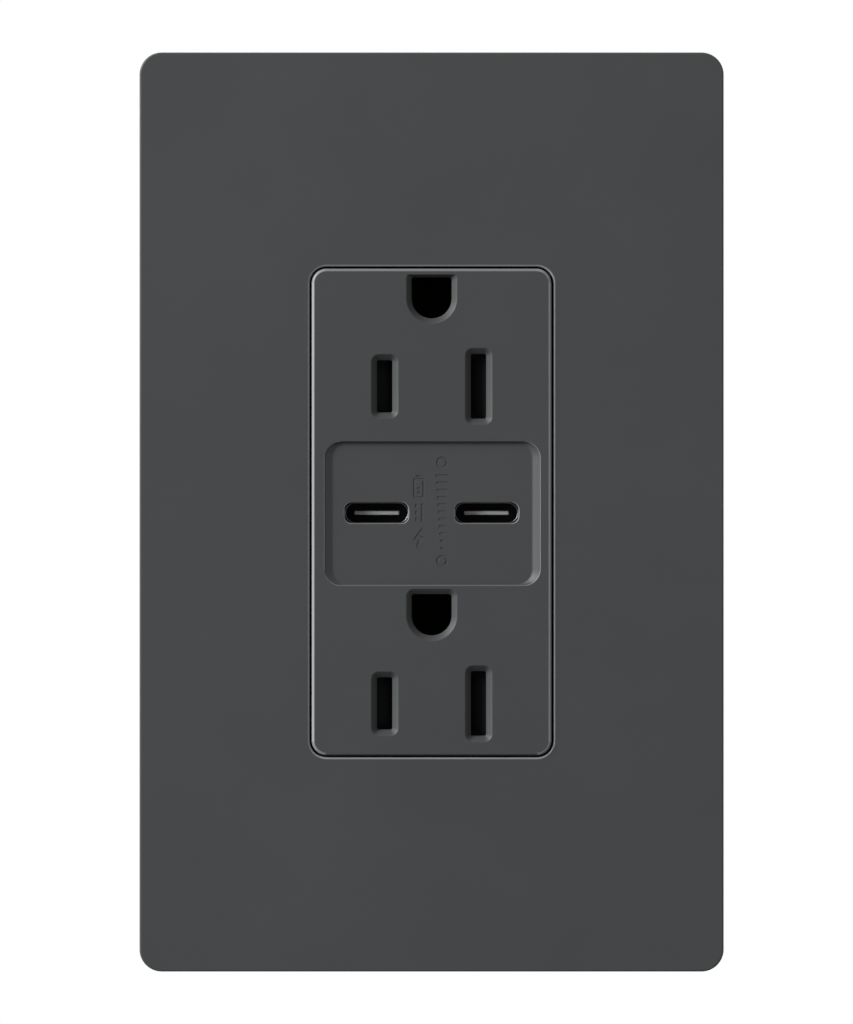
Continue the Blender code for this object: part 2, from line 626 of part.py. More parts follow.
def make_spring(name, half, z):
    """A coil along X between two shutters."""
    curve = bpy.data.curves.new(name, "CURVE")
    curve.dimensions = "3D"
    curve.bevel_depth = SPRING_WIRE
    curve.bevel_resolution = 1
    curve.use_fill_caps = True
    per_turn = 9
    count = SPRING_TURNS * per_turn + 1
    spline = curve.splines.new("POLY")
    spline.points.add(count - 1)
    reach = half - SPRING_WIRE
    for index in range(count):
        turn = 2 * math.pi * index / per_turn
        x = -reach + 2 * reach * index / (count - 1)
        spline.points[index].co = (x, SPRING_RADIUS * math.cos(turn),
                                   SPRING_RADIUS * math.sin(turn), 1)
    spring = place_piece(name, curve, STEEL, at=(0, (SHUTTER_FRONT + SHUTTER_BACK) / 2, z))
    return spring


def make_retainer(name, z):
    """A plate behind the shutters, with a rail on the side where the ground hole is."""
    half_width = RETAINER_WIDTH / 2
    rail = SHUTTER_HEIGHT / 2 + GAP
    back = RETAINER_FRONT + RETAINER_THICK
    plate = block((-half_width, half_width), (RETAINER_FRONT, back), (-rail, rail + RAIL_THICK))
    guide = block((-half_width, half_width), (SHUTTER_FRONT, RETAINER_FRONT + mm / 2),
                  (rail, rail + RAIL_THICK))
    blades = [
        prism(outline(BLADE_THICK + 2 * mm, height + GAP, mm / 2, (side * BLADE_X, 0)),
              RETAINER_FRONT - mm, back + mm)
        for side, height in ((-1, HOT_SLOT[1]), (1, NEUTRAL_SLOT[1]))
    ]
    make(name, plate, BLACK, [("add", [guide]), ("cut", blades)], at=(0, 0, z))


def make_blade_bus(name, side, leaf_half):
    """One pole: a spring clip at each outlet, a spine that joins them and two screw terminals."""
    outer = (side * (BLADE_X + LEAF_INNER), side * (BLADE_X + LEAF_INNER + SHEET))
    inner = (side * (BLADE_X - LEAF_INNER - SHEET), side * (BLADE_X - LEAF_INNER))
    web = (CONTACT_BACK - SHEET, CONTACT_BACK)
    spine = block(outer, (CONTACT_BACK - 2.2 * mm, CONTACT_BACK),
                  (BLADE_Z["lower"] - leaf_half, BLADE_Z["upper"] + leaf_half))
    adds = []
    for z in BLADE_Z.values():
        up = (z - leaf_half, z + leaf_half)
        adds.append(block(outer, (LEAF_FRONT, CONTACT_BACK), up))
        adds.append(block(inner, (LEAF_FRONT, CONTACT_BACK), up))
        adds.append(block((inner[0], outer[1]), web, up))
    plate_x = (side * (TERMINAL_FACE - SHEET), side * TERMINAL_FACE)
    holes = []
    for z in (-TERMINAL_Z, TERMINAL_Z):
        up = (z - TERMINAL_PLATE / 2, z + TERMINAL_PLATE / 2)
        adds.append(block((outer[0], plate_x[1]), web, up))
        adds.append(block(plate_x, (TERMINAL_Y - 4.4 * mm, CONTACT_BACK), up))
        holes.append(rod(TERMINAL_SCREW[2] + HOLE_GAP, (plate_x[0] - side * mm, TERMINAL_Y, z),
                         SHEET + 2 * mm, (side, 0, 0)))
    make(f"{name}_bus", spine, BRASS, [("add", adds), ("cut", holes)])


def make_terminals():
    screw = {"hot": screw_mesh(TERMINAL_SCREW), "neutral": screw_mesh(TERMINAL_SCREW)}
    clamp = block((-CLAMP / 2, CLAMP / 2), (-CLAMP / 2, CLAMP / 2), (0, CLAMP_THICK))
    clamp_hole = rod(TERMINAL_SCREW[2] + HOLE_GAP, (0, 0, -mm), CLAMP_THICK + 2 * mm, (0, 0, 1))
    finish = {"hot": BRASS, "neutral": NICKEL}
    for name, side in SIDES.items():
        for level, z in (("upper", TERMINAL_Z), ("lower", -TERMINAL_Z)):
            make(f"{level}_{name}_clamp", clamp.copy(), finish[name], [("cut", [clamp_hole])],
                 at=(side * CLAMP_SEAT, TERMINAL_Y, z), turn=out_sideways(side))
            place_piece(f"{level}_{name}_screw", screw[name], finish[name],
                        (side * HEAD_SEAT, TERMINAL_Y, z), out_sideways(side))


def make_ground_bus():
    half = GROUND_STRIP / 2
    leaf = GROUND_PIN / 2 + BLADE_GRIP_GAP
    web = (GROUND_WEB_FRONT, GROUND_WEB_BACK)
    top = BLADE_Z["upper"] + GROUND_RISE + GROUND_LEAF_HALF
    drop = -FACE_TOP + SKIRT_WALL + GAP
    strip = block((-half, half), web, (drop, top))
    adds = []
    for z in BLADE_Z.values():
        centre = z + GROUND_RISE
        up = (centre - GROUND_LEAF_HALF, centre + GROUND_LEAF_HALF)
        adds.append(block((-leaf - SHEET, leaf + SHEET), web, up))
        for side in (-1, 1):
            adds.append(block((side * leaf, side * (leaf + SHEET)),
                              (LEAF_FRONT, GROUND_WEB_BACK), up))
    foot_top = -(HOUSING_HEIGHT / 2 + FOOT_DROP)
    run = (HOUSING_FRONT, HOUSING_FRONT + SHEET)
    adds.append(block((-half, FOOT_X[1]), (HOUSING_FRONT, GROUND_WEB_BACK), (drop, drop + SHEET)))
    adds.append(block(FOOT_X[:2], run, (foot_top - SHEET, drop + SHEET)))
    adds.append(block(FOOT_X[:2], (GAP, HOUSING_FRONT + SHEET), (foot_top - SHEET, foot_top)))
    adds.append(block((FOOT_X[0], FOOT_X[2]), (GAP, GAP + SHEET),
                      (foot_top - FOOT_HEIGHT, foot_top)))
    holes = [hole(RIVET_RADIUS, x, rivet_height(), GAP, GAP + SHEET, 12) for x in RIVET_X]
    make("ground_bus", strip, BRASS, [("add", adds), ("cut", holes)])
    back, front = GAP + SHEET + GAP, STRAP_FRONT - GAP
    half_profile = ((0, RIVET_RISE), (RIVET_HEAD * 0.7, RIVET_RISE), (RIVET_HEAD, 0),
                    (RIVET_RADIUS, 0))
    profile = [(radius, back + rise) for radius, rise in half_profile]
    profile += [(radius, front - rise) for radius, rise in reversed(half_profile)]
    rivet = turned(profile, 12)
    shade_round(rivet)
    for name, x in zip(("inner", "outer"), RIVET_X):
        place_piece(f"ground_rivet_{name}", rivet, STEEL, (x, 0, rivet_height()), OUT_TO_BACK)


def link_cuts(front, back):
    """The openings that the header and the two leads pass through."""
    cuts = [block((HEADER_X[0] - 2 * GAP, HEADER_X[1] + 2 * GAP), (front - mm, back + mm),
                  (-HEADER_HALF - 2 * GAP, HEADER_HALF + 2 * GAP))]
    for side in (-1, 1):
        cuts.append(block((side * (BLADE_X + mm / 2), side * (BLADE_X + 3.7 * mm)),
                          (front - mm, back + mm), (-2 * mm, 2 * mm)))
    return cuts


def make_carrier():
    width, height = INNER_WIDTH - 2 * SLIDE_GAP, INNER_HEIGHT - 2 * SLIDE_GAP
    base = prism(outline(width, height, HOUSING_CORNER / 2), CARRIER_FRONT, CARRIER_BACK)
    reach = BLADE_X + LEAF_INNER - GAP
    strip = GROUND_STRIP / 2 + SLIDE_GAP
    ribs, rib_notches = [], []
    for z in BLADE_Z.values():
        middle = z + (NEUTRAL_LEAF_HALF + GROUND_RISE - GROUND_LEAF_HALF) / 2
        up = (middle - CARRIER_RIB / 2, middle + CARRIER_RIB / 2)
        ribs.append(block((-reach, reach), (PORT_BOARD_BACK + GAP, CARRIER_FRONT + mm / 2), up))
        rib_notches.append(block((-strip, strip), (GROUND_WEB_FRONT - SLIDE_GAP, CARRIER_FRONT),
                                 (up[0] - mm, up[1] + mm)))
    holes = [
        hole(BODY_SCREW[2], x, z, CARRIER_FRONT, CARRIER_BACK, 12)
        for x in (-BODY_SCREW_X, BODY_SCREW_X) for z in (-BODY_SCREW_Z, BODY_SCREW_Z)
    ]
    notches = [
        block((side * (TERMINAL_FACE - mm), side * INNER_WIDTH), (CARRIER_FRONT - mm,
              CARRIER_BACK + mm), (z - TERMINAL_PLATE / 2, z + TERMINAL_PLATE / 2))
        for side in (-1, 1) for z in (-TERMINAL_Z, TERMINAL_Z)
    ]
    make("contact_carrier", base, BLACK,
         [("add", ribs), ("cut", rib_notches),
          ("cut", holes + link_cuts(CARRIER_FRONT, CARRIER_BACK) + notches)])


def make_charger():
    """The power board behind the contacts, and what stands on it."""
    board_x = HUMP_WIDTH / 2 - HOUSING_WALL - GAP
    board_z = HUMP_HEIGHT / 2 - HOUSING_WALL - GAP
    barrier = block((-board_x, board_x), (BARRIER_FRONT, BARRIER_FRONT + BARRIER_THICK),
                    (-board_z, board_z))
    make("insulation_barrier", barrier, FIBRE,
         [("cut", link_cuts(BARRIER_FRONT, BARRIER_FRONT + BARRIER_THICK))])
    place_piece("charger_board", block((-board_x, board_x), (CHARGER_FRONT, CHARGER_BACK),
                                       (-board_z, board_z)), CIRCUIT)
    make_transformer((0, PART_FRONT + 4.3 * mm, -2 * mm))
    capacitor = [(0, 8.0 * mm), (3.6 * mm, 8.0 * mm), (4.2 * mm, 7.4 * mm), (4.2 * mm, -7.4 * mm),
                 (3.6 * mm, -8.0 * mm), (0, -8.0 * mm)]
    mesh = turned(capacitor, 20)
    shade_round(mesh)
    place_piece("input_capacitor", mesh, SLEEVE, (0.5 * mm, PART_FRONT + 4.3 * mm, 14 * mm),
                (0, math.pi / 2, 0))
    tall = [(0, 8.0 * mm), (2.8 * mm, 8.0 * mm), (3.15 * mm, 7.6 * mm), (3.15 * mm, 0), (0, 0)]
    mesh = turned(tall, 20)
    shade_round(mesh)
    place_piece("output_capacitor", mesh, SLEEVE, (8.5 * mm, PART_FRONT, -17 * mm), OUT_TO_BACK)
    place_piece("bridge_rectifier", block((-3.2 * mm, 3.2 * mm), (0, 2.6 * mm),
                                          (-2.5 * mm, 2.5 * mm)), EPOXY,
                (-8.5 * mm, PART_FRONT, -17 * mm))
    place_piece("controller_chip", block((-2.5 * mm, 2.5 * mm), (0, 1.6 * mm),
                                         (-2 * mm, 2 * mm)), EPOXY, (0, PART_FRONT, -17 * mm))
    place_piece("fuse", rod(1.7 * mm, (0, 0, -4.2 * mm), 8.4 * mm, (0, 0, 1), 16), FIBRE,
                (-11 * mm, PART_FRONT + 1.8 * mm, 15 * mm))


def make_transformer(middle):
    """A ferrite core with a centre leg, and the winding round that leg."""
    leg, core_y = (1.5 * mm, 2.0 * mm), 2.0 * mm
    slot_outer, slot_z = 5.2 * mm, 4.7 * mm
    core = block((-8 * mm, 8 * mm), (-core_y, core_y), (-7 * mm, 7 * mm))
    slots = [block((side * leg[0], side * slot_outer), (-3 * mm, 3 * mm), (-slot_z, slot_z))
             for side in (-1, 1)]
    make("transformer_core", core, FERRITE, [("cut", slots)], at=middle)
    winding_z = slot_z - GAP
    turns = prism(outline(2 * (slot_outer - GAP), 8.2 * mm, 2 * mm), -winding_z, winding_z)
    bore = block((-leg[0] - GAP, leg[0] + GAP), (-winding_z - mm, winding_z + mm),
                 (-leg[1] - GAP, leg[1] + GAP))
    make("transformer_winding", turns, COPPER, [("cut", [bore])], at=middle, turn=OUT_TO_ROOM)


def make_leads():
    """Two short wires from the poles back to the charger's board."""
    start_x = BLADE_X + LEAF_INNER + SHEET / 2
    for name, side in SIDES.items():
        curve = bpy.data.curves.new(f"{name}_lead", "CURVE")
        curve.dimensions = "3D"
        curve.bevel_depth = LEAD_RADIUS
        curve.bevel_resolution = 2
        curve.use_fill_caps = True
        start, end = CONTACT_BACK + GAP, CHARGER_FRONT - GAP
        count = 9
        spline = curve.splines.new("POLY")
        spline.points.add(count - 1)
        for index in range(count):
            share = index / (count - 1)
            bend = 0.5 - 0.5 * math.cos(math.pi * share)
            spline.points[index].co = (side * (start_x + 1.2 * mm * bend),
                                       start + (end - start) * share, mm * bend, 1)
        place_piece(f"{name}_lead", curve, BLACK)


def make_housing():
    base = prism(outline(HOUSING_WIDTH, HOUSING_HEIGHT, FLANGE_CORNER), HOUSING_FRONT, HOUSING_STEP)
    hump = prism(outline(HUMP_WIDTH, HUMP_HEIGHT, HOUSING_CORNER), HOUSING_STEP - mm, HOUSING_BACK)
    hollow = prism(outline(INNER_WIDTH, INNER_HEIGHT, HOUSING_CORNER / 2), HOUSING_FRONT - mm,
                   HOUSING_STEP - HOUSING_WALL)
    hump_hollow = prism(outline(HUMP_WIDTH - 2 * HOUSING_WALL, HUMP_HEIGHT - 2 * HOUSING_WALL,
                                HOUSING_CORNER / 4), HOUSING_FRONT, HOUSING_BACK - HOUSING_WALL)
    edge = HOUSING_WIDTH / 2 + mm
    inside = TERMINAL_FACE - GAP
    half = TERMINAL_PLATE / 2 + 0.7 * mm
    cuts = [
        block((side * inside, side * edge), (HOUSING_FRONT - mm, HOUSING_STEP + mm),
              (z - half, z + half))
        for side in (-1, 1) for z in (-TERMINAL_Z, TERMINAL_Z)
    ]
    cuts += [
        hole(BODY_SCREW[2], x, z, HOUSING_STEP - HOUSING_WALL, HOUSING_STEP, 12)
        for x in (-BODY_SCREW_X, BODY_SCREW_X) for z in (-BODY_SCREW_Z, BODY_SCREW_Z)
    ]
    cuts.append(block((FOOT_X[0] - GAP, FOOT_X[1] + GAP),
                      (HOUSING_FRONT - mm, HOUSING_FRONT + SHEET + GAP),
                      (-HOUSING_HEIGHT / 2 - mm, -INNER_HEIGHT / 2 + mm)))
    make("rear_housing", base, BLACK, [("add", [hump]), ("cut", [hollow]), ("cut", [hump_hollow]),
                                       ("cut", cuts)])
    mesh = screw_mesh(BODY_SCREW)
    for level, z in (("upper", BODY_SCREW_Z), ("lower", -BODY_SCREW_Z)):
        for side, x in (("left", -BODY_SCREW_X), ("right", BODY_SCREW_X)):
            place_piece(f"body_screw_{level}_{side}", mesh, STEEL, (x, HOUSING_STEP + GAP, z),
                        OUT_TO_BACK)


make_plate()
make_sub_plate()
make_strap()
make_face()
make_ports()
make_shutters()
for pole, half_leaf in (("hot", HOT_LEAF_HALF), ("neutral", NEUTRAL_LEAF_HALF)):
    make_blade_bus(pole, SIDES[pole], half_leaf)
make_ground_bus()
make_terminals()
make_carrier()
make_charger()
make_leads()
make_housing()
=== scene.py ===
# Duplex wall outlet with two charging ports: its visible pieces, their finishes and the studio.
import json
import math

import bmesh
import bpy
from mathutils import Matrix, Vector


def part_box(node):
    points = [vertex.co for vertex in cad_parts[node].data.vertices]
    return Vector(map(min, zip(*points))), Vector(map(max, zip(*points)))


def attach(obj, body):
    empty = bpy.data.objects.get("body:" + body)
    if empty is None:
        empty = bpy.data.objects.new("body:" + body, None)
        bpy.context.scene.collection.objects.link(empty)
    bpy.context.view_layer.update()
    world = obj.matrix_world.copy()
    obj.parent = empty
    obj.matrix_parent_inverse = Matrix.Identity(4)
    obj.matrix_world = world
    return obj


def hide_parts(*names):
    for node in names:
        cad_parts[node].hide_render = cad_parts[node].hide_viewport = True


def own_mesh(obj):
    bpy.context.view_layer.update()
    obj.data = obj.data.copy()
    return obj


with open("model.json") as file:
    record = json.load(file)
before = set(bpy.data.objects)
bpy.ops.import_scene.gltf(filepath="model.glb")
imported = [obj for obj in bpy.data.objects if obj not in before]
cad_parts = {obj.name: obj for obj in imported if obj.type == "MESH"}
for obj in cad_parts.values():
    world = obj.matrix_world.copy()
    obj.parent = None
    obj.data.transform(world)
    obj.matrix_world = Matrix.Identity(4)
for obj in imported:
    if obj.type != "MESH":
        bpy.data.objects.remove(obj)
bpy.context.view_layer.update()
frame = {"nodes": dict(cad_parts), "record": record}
record = frame["record"]
bodyOf = {node: body for body, members in record["behaviour"]["bodies"].items() for node in members}
slotOf = {part["node"]: part["material_slot"] for part in record["subparts"]}
mm = 0.001
print("frame loaded:", len(bodyOf), "nodes")


def addObject(name, data):
    item = bpy.data.objects.new(name, data)
    bpy.context.scene.collection.objects.link(item)
    return item


def meshFrom(form, name):
    # the form as a plain mesh; the form itself goes
    mesh = bpy.data.meshes.new(name)
    form.to_mesh(mesh)
    form.free()
    return mesh


# node trees written as Python

class Socket:
    # a node's output: arithmetic on it adds Math nodes
    def __init__(self, graph, socket):
        self.graph = graph
        self.socket = socket

    def maths(self, operation, first, second):
        return self.graph.add("ShaderNodeMath", {"operation": operation}, {0: first, 1: second})

    def __add__(self, other):
        return self.maths("ADD", self, other)

    def __radd__(self, other):
        return self.maths("ADD", other, self)

    def __sub__(self, other):
        return self.maths("SUBTRACT", self, other)

    def __rsub__(self, other):
        return self.maths("SUBTRACT", other, self)

    def __mul__(self, other):
        return self.maths("MULTIPLY", self, other)

    def __rmul__(self, other):
        return self.maths("MULTIPLY", other, self)

    def other(self, name):
        return Socket(self.graph, self.socket.node.outputs[name])


class Graph:
    def __init__(self, tree):
        self.tree = tree

    def add(self, kind, settings=None, inputs=None, output=0):
        item = self.tree.nodes.new(kind)
        for name, value in (settings or {}).items():
            if name == "stops":
                self.setStops(item.color_ramp, value)
            else:
                setattr(item, name, value)
        for key, value in (inputs or {}).items():
            self.feed(item.inputs[key], value)
        return Socket(self, item.outputs[output]) if item.outputs else item

    def feed(self, target, value):
        for single in value if isinstance(value, list) else [value]:
            if isinstance(single, Socket):
                self.tree.links.new(single.socket, target)
            else:
                target.default_value = single

    def setStops(self, ramp, stops):
        while len(ramp.elements) < len(stops):
            ramp.elements.new(0.5)
        for element, (place, shade) in zip(ramp.elements, stops):
            element.position = place
            element.color = (shade, shade, shade, 1)


# finishes

def startMaterial(name):
    material = bpy.data.materials.new(name)
    material.use_nodes = True
    graph = Graph(material.node_tree)
    shader = material.node_tree.nodes["Principled BSDF"]
    place = graph.add("ShaderNodeTexCoord", output=3)
    return material, graph, shader, place


def noiseAt(graph, place, size, detail=3.0, rough=0.5, stretch=None):
    # noise whose features are about size across
    if stretch:
        place = graph.add("ShaderNodeMapping", {}, {"Vector": place, "Scale": stretch})
    return graph.add("ShaderNodeTexNoise", {}, {"Vector": place, "Scale": 1 / size, "Detail": detail,
                                                "Roughness": rough})


def blendColors(graph, factor, first, second):
    # each colour is three numbers or a socket
    ends = [(*end, 1) if isinstance(end, tuple) else end for end in (first, second)]
    return graph.add("ShaderNodeMix", {"data_type": "RGBA"}, {0: factor, 6: ends[0], 7: ends[1]},
                     output=2)


def sharpen(graph, value, low, high):
    return graph.add("ShaderNodeMapRange", {"clamp": True}, {0: value, 1: low, 2: high})


def coatShader(graph, shader, color, roughness, strength, depth, height):
    graph.feed(shader.inputs["Base Color"], color)
    graph.feed(shader.inputs["Roughness"], roughness)
    graph.feed(shader.inputs["Normal"], graph.add("ShaderNodeBump", {}, {
        "Strength": strength, "Distance": depth, "Height": height}))


# the last three values set the painted edge highlight: how uneven it is, where it starts and how much
# glossier the edges get
plasticMix = {"grainShare": 0.3, "toneEdges": (0.3, 0.7), "patchSize": 0.35,
              "patchEdges": (0.35, 0.75), "patchSpread": 0.03, "sheenUneven": 0.3,
              "sheenEdge": 0.02, "edgeGlossier": 0.12}


def mouldedPlastic(name, look):
    # fine spark texture, slow drift of tone, patches a little duller or glossier
    mix = plasticMix
    material, graph, shader, place = startMaterial(name)
    grain = noiseAt(graph, place, look["grain"], 2.0, 0.55)
    drift = noiseAt(graph, place, look["drift"], 3.0, 0.6)
    patch = sharpen(graph, noiseAt(graph, place, look["drift"] * mix["patchSize"], 4.0, 0.6),
                    *mix["patchEdges"])
    tone = sharpen(graph, drift * (1 - mix["grainShare"]) + grain * mix["grainShare"],
                   *mix["toneEdges"])
    color = blendColors(graph, tone, look["dark"], look["light"])
    roughness = (look["roughness"] + (grain - 0.5) * look["roughSpread"]
                 + (patch - 0.5) * mix["patchSpread"])
    if "sheenLight" in look:  # painted highlight: rounded edges are lightened, more on the sides the light comes from, and made glossier
        rubbed = graph.add("ShaderNodeAttribute", {"attribute_name": "rubbed"}, output=2)
        uneven = 1 - mix["sheenUneven"] / 2 + drift * mix["sheenUneven"]
        highlightTone = blendColors(graph, rubbed * uneven, look["dark"], look["sheenLight"])
        color = blendColors(graph, sharpen(graph, rubbed, 0.0, mix["sheenEdge"]), color, highlightTone)
        roughness = roughness - rubbed * mix["edgeGlossier"]
    coatShader(graph, shader, color, roughness, look["grainStrength"], look["grainDepth"], grain)
    shader.inputs["Specular IOR Level"].default_value = look["specular"]
    return material


metalMix = {"streakShare": 0.35, "toneEdges": (0.32, 0.68), "strength": 0.35}


def workedMetal(name, look):
    # rolled or plated metal: streaks along one way and stains
    material, graph, shader, place = startMaterial(name)
    share = metalMix["streakShare"]
    streak = noiseAt(graph, place, look["grain"], 3.0, 0.6, look["stretch"])
    stain = noiseAt(graph, place, look["stain"], 4.0, 0.65)
    tone = sharpen(graph, stain * (1 - share) + streak * share, *metalMix["toneEdges"])
    roughness = look["roughness"] + (stain + streak - 1) * look["roughSpread"]
    coatShader(graph, shader, blendColors(graph, tone, look["dark"], look["light"]), roughness,
               metalMix["strength"], look["grainDepth"], streak)
    shader.inputs["Metallic"].default_value = look["metallic"]
    return material


def layeredFinish(name, look, patternOf):
    # a pattern over a cloud of tone, with the pattern raised
    material, graph, shader, place = startMaterial(name)
    pattern, over = patternOf(graph, place, look)
    tone = sharpen(graph, pattern * look["shares"][0] + over * look["shares"][1], *look["toneEdges"])
    uneven = pattern if look["roughFromPattern"] else over
    coatShader(graph, shader, blendColors(graph, tone, look["dark"], look["light"]),
               look["roughness"] + uneven * look["roughSpread"], look["strength"], look["depth"],
               pattern)
    return material


def pressedFibre(graph, place, look):
    strands = noiseAt(graph, place, look["strand"], 5.0, 0.7, look["stretch"])
    specks = graph.add("ShaderNodeTexVoronoi", {}, {"Vector": place, "Scale": look["specks"]})
    return strands, specks


def solderMask(graph, place, look):
    # copper tracks show through the mask as a slightly lighter maze
    turned = graph.add("ShaderNodeMapping", {}, {"Vector": place, "Rotation": (math.pi / 2, 0, 0)})
    cells = graph.add("ShaderNodeTexBrick", {"offset": 0.35}, {
        "Vector": turned, "Scale": look["scale"], "Mortar Size": 0.05, "Brick Width": 0.9,
        "Row Height": 0.45}, output=1)
    return cells, noiseAt(graph, place, look["cloud"])


def woundTape(graph, place, look):
    turns = graph.add("ShaderNodeTexWave", {"bands_direction": "Z"}, {
        "Vector": place, "Scale": look["scale"], "Distortion": 0.6, "Detail": 2.0})
    return turns, noiseAt(graph, place, look["cloud"])


plainPlastic = {"grain": 0.2 * mm, "drift": 5 * mm, "roughSpread": 0.1, "grainStrength": 0.2,
                "grainDepth": 0.01 * mm, "specular": 0.5}
plasticLooks = {
    # what each one has in place of the plain plastic's values
    "graphite": {"dark": (0.0335, 0.0355, 0.0365), "light": (0.0375, 0.0395, 0.0405),
                 # the light edge colour on the next line is a painted highlight for rounded edges
                 "sheenLight": (0.20, 0.205, 0.21), "grain": 0.16 * mm, "drift": 30 * mm,
                 "roughness": 0.5, "grainStrength": 0.22, "grainDepth": 0.012 * mm,
                 "specular": 0.35},
    "black_plastic": {"dark": (0.013, 0.013, 0.0135), "light": (0.019, 0.019, 0.0195),
                      "grain": 0.22 * mm, "drift": 14 * mm, "roughness": 0.46,
                      "roughSpread": 0.14, "grainStrength": 0.3, "grainDepth": 0.02 * mm},
    # near black, darker than the black plastic: the shutters' own black darkened further as painted
    # shade for the depth of the slots
    "shutter_plastic": {"dark": (0.004, 0.004, 0.004), "light": (0.006, 0.006, 0.006),
                        "roughness": 0.6, "specular": 0.2},
    "tongue_plastic": {"dark": (0.62, 0.63, 0.64), "light": (0.70, 0.71, 0.72), "grain": 0.1 * mm,
                       "drift": 3 * mm, "roughness": 0.4, "grainDepth": 0.005 * mm},
    "chip_epoxy": {"dark": (0.016, 0.016, 0.017), "light": (0.026, 0.026, 0.027),
                   "grain": 0.12 * mm, "drift": 3 * mm, "roughness": 0.55, "roughSpread": 0.15,
                   "grainStrength": 0.3, "grainDepth": 0.012 * mm},
    "ferrite": {"dark": (0.03, 0.03, 0.031), "light": (0.06, 0.058, 0.057), "grain": 0.3 * mm,
                "drift": 4 * mm, "roughness": 0.6, "roughSpread": 0.2, "grainStrength": 0.5,
                "grainDepth": 0.03 * mm},
    "capacitor_sleeve": {"dark": (0.02, 0.035, 0.085), "light": (0.03, 0.05, 0.11),
                         "grain": 0.4 * mm, "roughness": 0.3, "grainStrength": 0.15},
}
plainMetal = {"grain": 0.2 * mm, "stretch": (1.0, 1.0, 0.15), "stain": 4 * mm,
              "roughSpread": 0.14, "grainDepth": 0.004 * mm, "metallic": 1.0}
metalLooks = {
    "zinc_steel": {"dark": (0.50, 0.51, 0.51), "light": (0.68, 0.69, 0.69), "grain": 0.25 * mm,
                   "stretch": (1.0, 1.0, 0.12), "stain": 5 * mm, "roughness": 0.36},
    "brass": {"dark": (0.62, 0.42, 0.17), "light": (0.86, 0.64, 0.30), "roughness": 0.28},
    "nickel": {"dark": (0.58, 0.57, 0.54), "light": (0.76, 0.75, 0.71), "roughness": 0.26,
               "stretch": (1.0, 1.0, 0.2), "roughSpread": 0.12, "grainDepth": 0.003 * mm},
    "green_steel": {"dark": (0.015, 0.17, 0.045), "light": (0.03, 0.30, 0.08), "roughness": 0.34,
                    "stretch": (1.0, 1.0, 1.0), "stain": 3 * mm, "roughSpread": 0.12,
                    "metallic": 0.75},
    "port_steel": {"dark": (0.16, 0.16, 0.165), "light": (0.24, 0.24, 0.245), "grain": 0.12 * mm,
                   "stretch": (0.3, 1.0, 1.0), "stain": 2 * mm, "roughness": 0.33,
                   "roughSpread": 0.1, "grainDepth": 0.002 * mm},
    # brass darkened as painted shade for the ground bus deep in its hole, and rougher
    "shaded_brass": {"dark": (0.13, 0.082, 0.036), "light": (0.22, 0.14, 0.062),
                       "roughness": 0.42},
    "contact_gold": {"dark": (0.70, 0.50, 0.20), "light": (0.88, 0.68, 0.32), "grain": 0.1 * mm,
                     "stretch": (1.0, 1.0, 1.0), "stain": 1 * mm, "roughness": 0.3,
                     "roughSpread": 0.08, "grainDepth": 0.001 * mm},
}
layeredLooks = {
    "fibre": (pressedFibre, {
        "dark": (0.16, 0.085, 0.04), "light": (0.36, 0.21, 0.11), "strand": 0.25 * mm,
        "stretch": (1.0, 1.0, 4.0), "specks": 2600.0, "shares": (0.8, 0.3), "toneEdges": (0.3, 0.8),
        "roughness": 0.72, "roughSpread": 0.2, "roughFromPattern": True, "strength": 0.5,
        "depth": 0.03 * mm}),
    "circuit_board": (solderMask, {
        "dark": (0.01, 0.085, 0.035), "light": (0.02, 0.15, 0.06), "scale": 420.0, "cloud": 2 * mm,
        "shares": (0.75, 0.4), "toneEdges": (0.1, 1.1), "roughness": 0.32, "roughSpread": 0.12,
        "roughFromPattern": False, "strength": 0.5, "depth": 0.02 * mm}),
    "winding_tape": (woundTape, {
        "dark": (0.52, 0.33, 0.03), "light": (0.80, 0.58, 0.10), "scale": 900.0, "cloud": 1.5 * mm,
        "shares": (0.5, 0.6), "toneEdges": (0.2, 0.9), "roughness": 0.35, "roughSpread": 0.2,
        "roughFromPattern": False, "strength": 0.4, "depth": 0.03 * mm}),
}
finishes = {name: mouldedPlastic(name, {**plainPlastic, **look})
            for name, look in plasticLooks.items()}
finishes.update({name: workedMetal(name, {**plainMetal, **look})
                 for name, look in metalLooks.items()})
finishes.update({name: layeredFinish(name, look, patternOf)
                 for name, (patternOf, look) in layeredLooks.items()})
print("finishes made:", len(finishes))


# outlines and skins

skinSizes = {"leastRadius": 0.01 * mm, "merge": 0.0001 * mm, "touch": 0.0004 * mm, "inset": 1.08}


def outlineMaker(width, height, radii, centre=(0, 0), steps=10):
    # gives a function: the outline's points at an offset outwards, and at an extra half width
    corners = ((-1, -1, 180), (1, -1, 270), (1, 1, 0), (-1, 1, 90))
    if not isinstance(radii, tuple):
        radii = (radii,) * 4

    def outlineAt(offset=0.0, wider=0.0):
        points = []
        for (right, top, start), radius in zip(corners, radii):
            reach = max(radius + offset, skinSizes["leastRadius"])
            x = centre[0] + right * (width / 2 + offset + wider - reach)
            z = centre[1] + top * (height / 2 + offset - reach)
            for step in range(steps + 1):
                turn = math.radians(start + 90 * step / steps)
                points.append((x + reach * math.cos(turn), z + reach * math.sin(turn)))
        return points

    return outlineAt


def roundedEdge(outlineAt, depth, radius, grow, side, steps=5, rubbed=0.0):
    # sections from a flat face round its edge to the wall. grow is -1 on an outer edge and 1 round
    # a hole; side is 1 where the wall goes back from the face and -1 where it comes forward
    # the rings inside the rounding carry the strength of a painted edge highlight, which also lowers
    # their roughness
    sections = [(outlineAt(grow * radius * skinSizes["inset"]), depth)]
    for step in range(steps + 1):
        turn = math.pi / 2 * step / steps
        sections.append((outlineAt(grow * radius * (1 - math.sin(turn))),
                         depth + side * radius * (1 - math.cos(turn)),
                         rubbed if 0 < step < steps else 0.0))
    return sections


